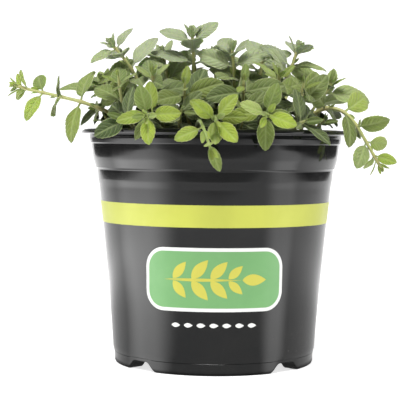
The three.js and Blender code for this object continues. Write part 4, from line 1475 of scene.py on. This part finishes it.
@dataclass
class Leaf:
    """A leaf's place and size: its root and directions, and the angles of its droop and fold.

    With arrays in its fields it holds many leaves at once.
    """

    root: Array
    ray: Array
    face: Array
    side: Array
    length: Any
    width: Any
    droop: float
    fold: float
    petiole: Any

    def at(self, along: Any, half_width: Any, across: Any, lift: Any) -> Array:
        """Points of the leaf.

        The midrib is an arc that bends down by the droop over the leaf's whole length, and each half
        rises from it by the fold.

        Args:
            along: distance from the root along the midrib.
            half_width: half width of the blade there.
            across: from -1 at one margin to 1 at the other.
            lift: height over the blade's middle surface.

        Returns:
            The points.
        """
        whole = self.petiole + self.length
        bend, arc = self.droop * along / whole, whole / self.droop
        forward, down = arc * np.sin(bend), -arc * (1 - np.cos(bend))
        beside = half_width * across * math.cos(self.fold)
        over = half_width * np.abs(across) * math.sin(self.fold) + lift
        forward, down = forward + over * np.sin(bend), down + over * np.cos(bend)
        return (self.root + self.ray * np.asarray(forward)[..., None]
                + self.face * np.asarray(down)[..., None] + self.side * np.asarray(beside)[..., None])


def blade_shape(share: Array) -> Array:
    """Half width of a blade, 1 at its widest: share to the 0.6 times the rest to the 0.75."""
    widest = 0.3957
    return share ** 0.6 * (1 - share) ** 0.75 / widest


@dataclass(frozen=True)
class Habit:
    """How leaves of one age stand on the stem.

    pitch is the angle from the stem and droop the bend of the blade, both in degrees and less by
    their fall towards the tip. width is a share of the length. up and out are how much the face
    turns up and to the light, and roll is how far it may roll.
    """

    pitch: float
    pitch_fall: float
    width: float
    droop: float
    droop_fall: float
    up: float
    out: float
    roll: float


@dataclass
class Growth:
    """How a stem's leaves grow from their buds.

    turns, lifts and sizes are what a leaf may take for want of room. size_curve gives a grown
    leaf's size by the share, its square and a constant first. Each wobble is the reach of a draw.
    """

    turns: tuple = (0, 14, -14, 28, -28, 42, -42)
    lifts: tuple = (0, 14, -14, 28, -28)
    sizes: tuple = (1, 0.86, 0.72)
    grown: Habit = Habit(pitch=84, pitch_fall=34, width=0.6, droop=48, droop_fall=22, up=0.3, out=0.85,
                         roll=24)
    young: Habit = Habit(pitch=46, pitch_fall=18, width=0.48, droop=14, droop_fall=0, up=0.1, out=0.2,
                         roll=8)
    along: float = 0.6
    size_curve: Triple = (0.88, 0.6, -0.95)
    tip_shrink: float = 0.27
    turn_wobble: float = 9.0
    pitch_wobble: float = 8.0
    size_wobble: float = 0.08
    width_wobble: float = 0.04
    droop_wobble: float = 12.0
    fold: float = 13.0
    fold_wobble: float = 5.0
    petiole_share: float = 0.12
    petiole_least: float = 1.0
    tolerance: float = 0.05

    def size(self, plan: StemPlan, bud: Bud) -> float:
        """A leaf's size as a share of the longest: a curve up the stem, and small in the tip."""
        if bud.young:
            return plan.bud * (1 - self.tip_shrink * bud.order) * (1 - plan.shrink / 2)
        start, slope, bend = self.size_curve
        return (start + slope * bud.share + bend * bud.share ** 2) * (1 - plan.shrink * bud.share)

    def leaves(self, stem: Stem, bud: Bud, turn_by: Any, lift_by: Any, scale: Any) -> Leaf:
        """The leaf of a bud, or many at once for arrays of turns, lifts and sizes.

        Args:
            stem: the stem.
            bud: the bud.
            turn_by: degrees that the leaf turns round the stem.
            lift_by: degrees that it lifts towards the stem.
            scale: its size as a share.

        Returns:
            The leaf.
        """
        plan, draws = stem.plan, Draws(stem.index * 1000 + bud.number * 7 + 11)
        habit, order = (self.young, bud.order) if bud.young else (self.grown, bud.share)
        point, along = stem.straight(bud.distance)
        ahead, across = stem.square_to(along)
        turn = np.radians(bud.turn + draws.wobble(self.turn_wobble) + turn_by)[..., None]
        pitch = habit.pitch - habit.pitch_fall * order
        pitch = np.radians(pitch + draws.wobble(self.pitch_wobble) - lift_by)[..., None]
        length = plan.leaf * self.size(plan, bud) * (1 + draws.wobble(self.size_wobble)) * scale
        width = length * (habit.width + draws.wobble(self.width_wobble))
        droop = habit.droop - habit.droop_fall * order
        droop = math.radians(droop + draws.wobble(self.droop_wobble)) * plan.droop
        out = ahead * np.cos(turn) + across * np.sin(turn)
        ray = along * np.cos(pitch) + out * np.sin(pitch)
        face = along * self.along + UP * habit.up + stem.light_side(point) * habit.out
        face = unit(face - ray * (ray @ face)[..., None])
        roll = math.radians(draws.wobble(habit.roll))
        face = face * math.cos(roll) + np.cross(ray, face) * math.sin(roll)
        fold = math.radians(self.fold + draws.wobble(self.fold_wobble))
        return Leaf(point, ray, face, np.cross(ray, face), length, width, droop, fold,
                    length * self.petiole_share + self.petiole_least)

    def settled(self, stem: Stem, bud: Bud, corners: Array) -> Leaf | None:
        """The leaf as its solid has it: the way of growing whose tip is a corner of the solid.

        Args:
            stem: the stem.
            bud: the bud.
            corners: the corners of the stem's solid.

        Returns:
            The leaf, or None where the solid has none.
        """
        scale, lift, turn = (grid.ravel() for grid in np.meshgrid(
            self.sizes, self.lifts, self.turns, indexing="ij"))
        many = self.leaves(stem, bud, turn, lift, scale)
        tips = many.at(many.petiole + many.length, 0.0, 0.0, 0.0)
        gaps = np.linalg.norm(tips[:, None] - corners[None], axis=-1).min(1)
        best = int(gaps.argmin())
        if gaps[best] > self.tolerance:
            return None
        return self.leaves(stem, bud, turn[best], lift[best], scale[best])


@dataclass(frozen=True)
class LeafForm:
    """The fine form of a leaf round the middle surface of its solid.

    toothed is the stretch of the margin that has teeth, in shares of the blade's length. serration,
    bulge, curl, ripple and twist are shares of the half width, and crease is how much of it the fold
    is softened over. A leaf under full_length is thinner.
    """

    columns: int = 10
    teeth: int = 8
    toothed: Pair = (0.11, 0.95)
    thickness: float = 0.3
    rib: float = 0.42
    groove: float = 0.12
    stalk: float = 0.5
    serration: float = 0.05
    bulge: float = 0.06
    curl: float = 0.1
    ripple: float = 0.06
    ripples: float = 1.7
    twist: float = 0.1
    full_length: float = 17.0
    tooth_lean: float = 0.02
    rib_reach: float = 0.42
    crease: float = 0.09

    def rows(self) -> tuple[Array, Array]:
        """Shares of the blade's length where rings lie, three to a tooth, and the tooth's height there."""
        if not self.teeth:
            share = np.array([0.0, 0.04, 0.12, 0.25, 0.4, 0.56, 0.71, 0.84, 0.94, 0.985])
            return share, np.full(len(share), 0.5)
        first, last = self.toothed
        base, end = np.array([0.0, 0.015, 0.045, 0.08]), np.array([0.955, 0.985])
        phase, height = np.array([0.0, 0.45, 0.85]), np.array([0.0, 0.6, 1.0])
        teeth = first + (last - first) * (np.arange(self.teeth)[:, None] + phase) / self.teeth
        share = np.concatenate([base, teeth.ravel(), end])
        return share, np.concatenate([np.full(4, 0.4), np.tile(height, self.teeth), [0.3, 0.5]])

    def skin(self, leaf: Leaf, look: Triple, draws: Draws, root: Array) -> Skin:
        """The leaf's closed surface: a thin blade on a round stalk, one profile carried along the midrib.

        Over the middle surface the blade is lifted by its thickness, a groove above and a rib below
        (bell curves of the distance from the midrib), a bulge of each half (sine), a curl of the
        margin (cube), a ripple (sine along the margin) and a twist.

        Args:
            leaf: the leaf.
            look: growth marks, with the depth that sets the painted shade and light.
            draws: numbers for the ripple and twist.
            root: how far the stem's curve lies off the leaf's root.

        Returns:
            The closed surface, with its upper face in slot 0 and its underside in slot 1.
        """
        even = np.linspace(-1, 1, self.columns + 1)
        top = np.sign(even) * np.abs(even) ** 1.5
        across = np.concatenate([top, top[-2:0:-1]])
        over = np.concatenate([[0.0], np.ones(self.columns - 1), [0.0], -np.ones(self.columns - 1)])
        share, tooth = self.rows()
        stalk_steps = np.array([0.0, 0.3, 0.6, 0.88]) * leaf.petiole
        along = np.concatenate([stalk_steps, leaf.petiole + share * leaf.length])[:, None]
        share = np.concatenate([(stalk_steps - leaf.petiole) / leaf.length, share])[:, None]
        tooth = np.concatenate([np.full(4, 0.5), tooth])[:, None]
        held, width = np.clip(share, 0, 1), np.abs(across)[None]
        size = min(1.0, math.sqrt(leaf.length / self.full_length))
        stalk = self.stalk * size * (1 - held) ** 0.8
        half = np.hypot(leaf.width / 2 * blade_shape(held), stalk)
        away = half * width
        blade = smooth((share + 0.02) / 0.1)
        rim = width ** 8
        reach = 1 + self.serration * (tooth - 0.5) * rim * blade
        forward = along + rim * blade * (tooth - 0.5) * self.tooth_lean * leaf.length
        sheet = self.thickness / 2 * size * np.sqrt(1 - width ** 4)
        rod = stalk * 0.85 * np.sqrt(np.clip(1 - width ** 2, 0, 1))
        bell = np.exp(-((away / (self.rib_reach * size)) ** 2)) * (1 - held) ** 0.7 * blade
        rib = np.where(over > 0, -self.groove, -self.rib) * bell * size * np.abs(over)
        lift = over * (sheet * blade + rod * (1 - blade)) + rib
        soft = np.sqrt(width ** 2 + self.crease ** 2) - self.crease
        lift = lift + half * (soft - width) * math.sin(leaf.fold)
        phases = [draws.number() * 2 * math.pi for _ in range(2)]
        phase = np.where(across < 0, phases[0], phases[1])
        twist = draws.wobble(self.twist)
        shape = self.bulge * np.sin(math.pi * width) - self.curl * width ** 3
        shape = shape + self.ripple * width ** 2 * np.sin(2 * math.pi * self.ripples * share + phase)
        shape = shape + twist * across * share
        lift = lift + half * shape * blade
        rings = leaf.at(forward + 0 * across, half * reach, across[None], lift)
        rings = rings + root * (np.clip(1 - along / leaf.petiole, 0, 1) ** 2)[..., None]
        place = np.stack([share + 0 * across, across + 0 * share, away + 0 * share], -1)
        tip = leaf.at(leaf.petiole + leaf.length, 0.0, 0.0, 0.0)
        poles = np.array([leaf.root + root - leaf.ray * 0.2, tip])
        slots = np.where(np.arange(len(across)) < self.columns, 0, 1)
        return closed_skin(rings, poles, place, look, slots, over == 0)


@dataclass
class Mint:
    """The plant: its stems, each with its leaves, a tuft of small leaves at the tip and side buds.

    Leaves under small_length and young_length have the smaller forms. A leaf's painted shade fades
    over dark_depth from dark_height up, and from dark_reach out as a share of spread. Over top_depth
    from top_height up it takes the painted light of the topmost leaves.
    """

    mix: PottingMix
    box: Array
    growth: Growth = field(default_factory=Growth)
    large: LeafForm = LeafForm()
    small: LeafForm = LeafForm(columns=8, teeth=5, thickness=0.26, rib=0.3)
    young: LeafForm = LeafForm(columns=6, teeth=0, thickness=0.24, rib=0.25, stalk=0.4)
    small_length: float = 12.5
    young_length: float = 8.0
    # where the leaves' painted shade fades out and their painted light at the top begins
    dark_height: float = 106.0
    dark_depth: float = 30.0
    dark_reach: float = 0.66
    reach_slope: float = 2.1
    spread: float = 60.0
    side_gap: float = 6.0
    top_height: float = 122.0
    top_depth: float = 22.0
    side_bud_chance: float = 0.9
    side_bud_gap: float = 9.0
    side_bud_number: int = 60
    tip_orders: Pair = (2.0, 2.35)
    axil_step: float = 0.7

    def corners(self, node: str) -> Array:
        """The corners of a CAD node's mesh, in millimetres."""
        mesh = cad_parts[node].data
        places = np.empty(len(mesh.vertices) * 3, np.float32)
        mesh.vertices.foreach_get("co", places)
        return places.reshape(-1, 3).astype(float) / MM

    def form(self, leaf: Leaf) -> LeafForm:
        """The fine form for a leaf's length."""
        if leaf.length < self.young_length:
            return self.young
        return self.small if leaf.length < self.small_length else self.large

    def look(self, stem: Stem, bud: Bud, leaf: Leaf, draws: Draws) -> Triple:
        """A leaf's marks: how fresh it is, a number of its own, and its depth, which sets painted shade and
        light.

        The depth falls from 1 low inside, where the leaf is painted in shade, by a smooth step to 0 in the
        light, and on to -1 at the top, where it is painted pale as with sheen.
        """
        fresh = stem.plan.fresh + (0.45 if bud.young else 0.3 * bud.share ** 2) + draws.wobble(0.1)
        middle = leaf.at(leaf.petiole + leaf.length / 2, 0.0, 0.0, 0.0)
        out = max(-middle[1], abs(middle[0]) - self.side_gap) / self.spread
        lit = max(0.0, middle[2] - self.dark_height) / self.dark_depth
        lit += max(0.0, out - self.dark_reach) * self.reach_slope
        top = (middle[2] - self.top_height) / self.top_depth
        # depth: 1 for painted shade low inside the plant, -1 for painted light at the top
        depth = 1 - smooth(np.array(lit)) - smooth(np.array(top))
        return min(1.0, max(0.0, fresh)), draws.number(), float(depth)

    def side_buds(self, stem: Stem) -> list[Bud]:
        """Small extra leaves: two pairs in the tip, and a pair in the axils of most joints."""
        plan, made = stem.plan, []
        draws = Draws(stem.index + 700)
        for k, order in enumerate(self.tip_orders):
            for side in (0, 180):
                turn = plan.turn + 90 * (plan.pairs + plan.tips + k) + side
                made.append(Bud(stem.length - 1.0 + 0.6 * k, 1, turn, self.side_bud_number + len(made),
                                True, order))
        for bud in stem.buds():
            clear = not bud.young and bud.distance < stem.length - self.side_bud_gap
            if clear and draws.number() < self.side_bud_chance:
                order = 1.5 + draws.number() * 0.7
                made.append(Bud(bud.distance + self.axil_step, 1, bud.turn,
                                self.side_bud_number + len(made), True, order))
        return made

    def leafy_stem(self, stem: Stem) -> Shape:
        """One stem with all its leaves, as closed surfaces.

        Args:
            stem: the grown stem.

        Returns:
            The shape.
        """
        shape = Shape(f"leafy_{stem.plan.name}")
        corners = self.corners(f"mint_{stem.plan.name}")
        draws = Draws(stem.index * 37 + 5)
        buds = stem.buds()
        found = [(bud, self.growth.settled(stem, bud, corners)) for bud in buds]
        extra = [(bud, self.growth.leaves(stem, bud, np.array(0.0), np.array(0.0), 1.0))
                 for bud in self.side_buds(stem)]
        joints = sorted({bud.distance for bud in buds})
        shape.add(stem.skin(joints, (stem.plan.fresh, draws.number(), 0.0)))
        for bud, leaf in found + extra:
            if leaf is None:
                continue
            root = stem.curved(np.array([bud.distance]))[0] - stem.straight(bud.distance)[0]
            shape.add(self.form(leaf).skin(leaf, self.look(stem, bud, leaf, draws), draws, root))
        leaves = sum(leaf is not None for _, leaf in found)
        LOG.info("%s: %d of %d buds have a leaf", shape.name, leaves, len(buds))
        shape.keep_within(self.box)
        return shape

    def build(self, finishes: list[Material]) -> list[Object]:
        """Makes all the leafy stems.

        Args:
            finishes: the upper face, the underside and the stem.

        Returns:
            One piece for each stem.
        """
        made = []
        for index, plan in enumerate(STEMS):
            piece = self.leafy_stem(Stem(plan, index, self.mix)).piece(finishes)
            hand_over(piece, "mint", f"mint_{plan.name}")
            made.append(piece)
        return made


# Studio


@dataclass(frozen=True)
class Glow:
    """A sector of glow on the table at one side of the pot, brightest at a distance from the pot.

    level is the glow far off, and peak what a bell curve round the distance reach adds to it. The
    sector starts and weakens over a span of degrees round from the front, down to a rest. Close to
    the pot it weakens some degrees earlier and to a smaller rest, a painted shadow of the pot on the
    glow.
    """

    level: float
    peak: float
    reach: float
    rise: Pair
    fall: Pair
    rest: float
    earlier: float
    bell: float = 0.13
    close: Pair = (0.14, 0.32)
    close_rest: float = 0.12

    def paint(self, graph: Graph, turn: Socket, away: Socket) -> Socket:
        """The glow by the degrees round from the front and the distance from the pot's axis."""
        # painted shadow: close to the pot the glow fades sooner round the sides
        near = graph.step(away, *self.close, 1.0, 0.0)
        off = graph.math("DIVIDE", graph.minus(away, self.reach), self.bell)
        bell = graph.math("EXPONENT", graph.times(graph.times(off, off), -1.0))
        glow = graph.math("MULTIPLY_ADD", bell, self.peak, self.level)
        glow = graph.times(glow, graph.step(turn, *self.rise))
        kept = graph.step(graph.math("MULTIPLY_ADD", near, self.earlier, turn), *self.fall, 1.0, 0.0)
        least = graph.math("MULTIPLY_ADD", near, self.close_rest - self.rest, self.rest)
        return graph.times(glow, graph.math("MAXIMUM", kept, least))


@dataclass(frozen=True)
class ReflectorFinish(Finish):
    """What gloss sees of the set: a white table, brighter at both sides, with a dark room round it.

    Lengths are in metres. The degrees round are counted from a point off the axis on either side.
    The white is a little dimmer in front near the pot and beyond the table's front edge, and dark
    under the pot; the dimming near and under the pot is a painted shadow of the pot. table_slant is
    how much wider the table is to the front, and behind gives the slopes, y to x, between which its
    sides' dark ends behind the pot.
    """

    left: Glow = Glow(level=2.0, peak=1.7, reach=0.24, rise=(34.0, 72.0), fall=(96.0, 126.0),
                      rest=0.35, earlier=9.0)
    right: Glow = Glow(level=1.1, peak=1.0, reach=0.17, rise=(47.0, 67.0), fall=(78.0, 96.0),
                       rest=0.4, earlier=5.0)
    middle: Pair = (0.012, -0.032)
    front: float = 0.9
    near_front: float = 0.62
    near: Pair = (0.06, 0.3)
    beyond: float = 0.06
    before: float = 0.28
    under_pot: float = 0.15
    foot: Pair = (0.044, 0.05)
    table_half: float = 0.535
    table_slant: float = -0.15
    table_front: float = 0.345
    behind: Pair = (1.8, 2.4)
    edge_blur: float = 0.02
    side_blur: float = 0.025

    def paint(self, graph: Graph, shader: Node) -> None:
        """Emission by the place: glow on the table, dark beyond its edges, and a painted shadow near and
        under the pot.
        """
        x, y, _ = graph.parts(graph.object_place())
        beside = graph.math("ABSOLUTE", x)
        angle = graph.math("ARCTAN2", graph.minus(beside, self.middle[0]), graph.minus(self.middle[1], y))
        turn = graph.times(angle, 180 / math.pi)
        away = graph.math("SQRT", graph.plus(graph.times(x, x), graph.times(y, y)))
        left, right = self.left.paint(graph, turn, away), self.right.paint(graph, turn, away)
        is_left = graph.math("LESS_THAN", x, 0.0)
        bright = graph.plus(graph.times(is_left, left), graph.times(graph.minus(1.0, is_left), right))
        # painted shadow: the front glow is dimmer near the pot
        front = graph.step(away, *self.near, self.near_front * self.front, self.front)
        edge = -self.table_front
        ahead = graph.step(y, edge - self.edge_blur, edge + self.edge_blur, self.before, 1.0)
        lit = graph.times(graph.plus(bright, front), ahead)
        # painted shadow: the glow falls dark under the pot
        lit = graph.times(lit, graph.step(away, *self.foot, self.under_pot))
        side = graph.math("MULTIPLY_ADD", y, self.table_slant, beside)
        off_side = graph.step(side, self.table_half - self.side_blur, self.table_half + self.side_blur)
        off_back = graph.step(graph.math("DIVIDE", y, beside), *self.behind, 1.0, 0.0)
        dark = graph.times(off_side, off_back)
        strength = graph.plus(graph.times(lit, graph.minus(1.0, dark)), graph.times(dark, self.beyond))
        self.put(graph, shader, Base_Color=(0.0, 0.0, 0.0, 1.0), Specular_IOR_Level=0.0,
                 Emission_Color=(1.0, 1.0, 1.0, 1.0), Emission_Strength=strength)


def stand(name: str, data: bpy.types.ID, place: Matrix) -> Object:
    """Puts a camera or a light into the scene at its place and returns its object."""
    made = bpy.data.objects.new(name, data)
    bpy.context.scene.collection.objects.link(made)
    made.matrix_world = place
    return made


@dataclass(frozen=True)
class Softbox:
    """A soft rectangular light that faces the pot, with lengths in metres.

    turn is its degrees round the pot from the front, to the right. A glow of 1 is white.
    """

    name: str
    turn: float
    glow: float
    distance: float = 0.8
    height: float = 0.35
    size: Pair = (0.5, 0.6)
    aim: float = 0.1

    def place(self) -> None:
        """Adds the light to the scene."""
        data = bpy.data.lights.new(self.name, "AREA")
        data.shape, data.size, data.size_y = "RECTANGLE", *self.size
        data.energy = self.glow * math.pi * self.size[0] * self.size[1]
        angle = math.radians(self.turn)
        spot = Vector((math.sin(angle) * self.distance, -math.cos(angle) * self.distance, self.height))
        look = (Vector((0, 0, self.aim)) - spot).to_track_quat("-Z", "Y")
        stand(self.name, data, Matrix.Translation(spot) @ look.to_matrix().to_4x4()).visible_camera = False


@dataclass
class Studio:
    """Camera, pale floor and soft lights, with lengths in metres and angles in degrees.

    The key light is a very large far softbox, as a sun with a wide disc: key_turn is its angle round
    the pot from the front, to the right, key_rise its angle above the floor, and key_spread its width.
    The floor's top and thickness are in millimetres.
    """

    distance: float = 0.605
    eye_height: float = 0.098
    tilt: float = 2.459
    roll: float = 0.5
    lens: float = 121.6
    sensor: float = 36.0
    clip: Pair = (0.01, 20.0)
    shift: float = -0.0374
    floor_radii: tuple[float, ...] = (0.15, 0.4, 1.0, 3.0)
    floor_top: float = -0.02
    floor_thickness: float = 0.5
    floor_sides: int = 64
    ambient: float = 0.22
    backdrop: float = 1.25
    backdrop_edge: Pair = (0.6, 0.9)
    seen_white: float = 1.1
    gloss_dim: float = 0.85
    gloss_dim_edge: Pair = (0.03, 0.25)
    key: float = 3.6
    key_turn: float = -8.0
    key_rise: float = 60.0
    key_spread: float = 26.0
    softboxes: tuple[Softbox, ...] = (Softbox("left_softbox", -85, 2.0), Softbox("right_softbox", 85, 1.6))

    def camera(self) -> None:
        """The camera at the photograph's angle, in front of the pot and tilted a little down."""
        data = bpy.data.cameras.new("camera")
        data.lens, data.sensor_width, data.shift_x = self.lens, self.sensor, self.shift
        data.clip_start, data.clip_end = self.clip
        aim = Matrix.Rotation(math.radians(90 - self.tilt), 4, "X")
        roll = Matrix.Rotation(math.radians(self.roll), 4, "Z")
        place = Matrix.Translation((0, -self.distance, self.eye_height)) @ aim @ roll
        bpy.context.scene.camera = stand("camera", data, place)

    def disc(self, name: str, finish: Material) -> Object:
        """A wide round disc with a thin edge, just below the pot's foot."""
        shape = Shape(name)
        radius, top = np.array(self.floor_radii) / MM, self.floor_top
        bottom = top - self.floor_thickness
        over = np.stack([radius, np.full(len(radius), top)], -1)
        under = np.stack([radius, np.full(len(radius), bottom)], -1)[::-1]
        poles = np.array([[0, 0, top], [0, 0, bottom]])
        shape.add(closed_skin(turned(np.concatenate([over, under]), self.floor_sides), poles))
        piece = shape.piece([finish])
        piece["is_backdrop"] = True
        return piece

    def floors(self, pale: Material, reflector: Material) -> None:
        """The pale floor, and in the same place the reflector that only gloss sees."""
        floor = self.disc("studio_floor", pale)
        floor.visible_glossy = False
        card = self.disc("reflector", reflector)
        card.visible_camera = card.visible_diffuse = card.visible_shadow = False
        card.visible_transmission = card.visible_volume_scatter = False
        pale.cycles.emission_sampling = reflector.cycles.emission_sampling = "NONE"

    def key_light(self) -> None:
        """The main light, above and a little left of the camera."""
        data = bpy.data.lights.new("key_light", "SUN")
        data.energy, data.angle = self.key, math.radians(self.key_spread)
        aim = Matrix.Rotation(math.radians(self.key_turn), 4, "Z")
        aim = aim @ Matrix.Rotation(math.radians(90 - self.key_rise), 4, "X")
        stand("key_light", data, Matrix.Translation((0, -1, 1)) @ aim)

    def surroundings(self) -> None:
        """A dim tent all round and a bright backdrop behind, seen as plain white by the camera.

        Its brightness is a smooth step of the direction's part along Y. Gloss sees its upper part dim.
        """
        world = bpy.data.worlds.new("studio")
        bpy.context.scene.world = world
        world.use_nodes = True
        graph = Graph(world.node_tree)
        _, back, up = graph.parts(graph.add("ShaderNodeTexCoord").outputs["Generated"])
        glow = graph.step(back, *self.backdrop_edge, self.ambient, self.backdrop)
        ray = graph.add("ShaderNodeLightPath").outputs
        dim = graph.step(up, *self.gloss_dim_edge, 0.0, self.gloss_dim)
        dim = graph.times(ray["Is Glossy Ray"], dim)
        glow = graph.times(glow, graph.minus(1.0, dim))
        strength = graph.math("MAXIMUM", glow, graph.times(ray["Is Camera Ray"], self.seen_white))
        shader = world.node_tree.nodes["Background"]
        graph.feed(shader.inputs["Strength"], strength)
        graph.feed(shader.inputs["Color"], (1.0, 1.0, 1.0, 1.0))

    def build(self) -> None:
        """Sets up the camera, the floors, the surroundings and the lights."""
        self.camera()
        self.floors(FloorFinish("pale_floor").material(), ReflectorFinish("reflector").material())
        self.surroundings()
        self.key_light()
        for softbox in self.softboxes:
            softbox.place()
        bpy.context.scene.view_settings.view_transform = "Standard"
        LOG.info("studio: %d softboxes and a key light", len(self.softboxes))


def main() -> None:
    """Builds the sub-assemblies in order, then the studio."""
    logging.basicConfig(level=logging.INFO, format="%(message)s")
    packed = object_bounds()
    pot = Pot()
    pot.build(PlasticFinish("moulded_plastic").material())
    Printing(pot.wall_line()).build({ink: ink.value.material() for ink in Inks})
    mix = PottingMix()
    peat = CrumbFinish("damp_peat", dark=(0.008, 0.005, 0.0035), light=(0.05, 0.03, 0.018), grains=900.0)
    bark = CrumbFinish("bark", dark=(0.03, 0.016, 0.009), light=(0.12, 0.07, 0.04), grains=700.0)
    mix.build(peat.material(), bark.material())
    # Both faces paint light on the topmost leaves and shade on those low inside the plant; the underside's
    # pale is its painted light.
    upper = BladeFinish("mint_upper_face")
    under = BladeFinish(
        "mint_underside", old=(0.22, 0.26, 0.145), fresh=(0.335, 0.405, 0.095), veins=(0.42, 0.47, 0.25),
        dull=(0.13, 0.17, 0.1), pale=(0.4, 0.44, 0.33), vein_share=0.4, roughness=0.55, sunk=False,
        relief=0.15)
    stalk = StemFinish("mint_stem")
    box = np.array([list(corner) for corner in packed]) / MM
    Mint(mix, box).build([finish.material() for finish in (upper, under, stalk)])
    Studio().build()


if __name__ == "__main__":
    main()
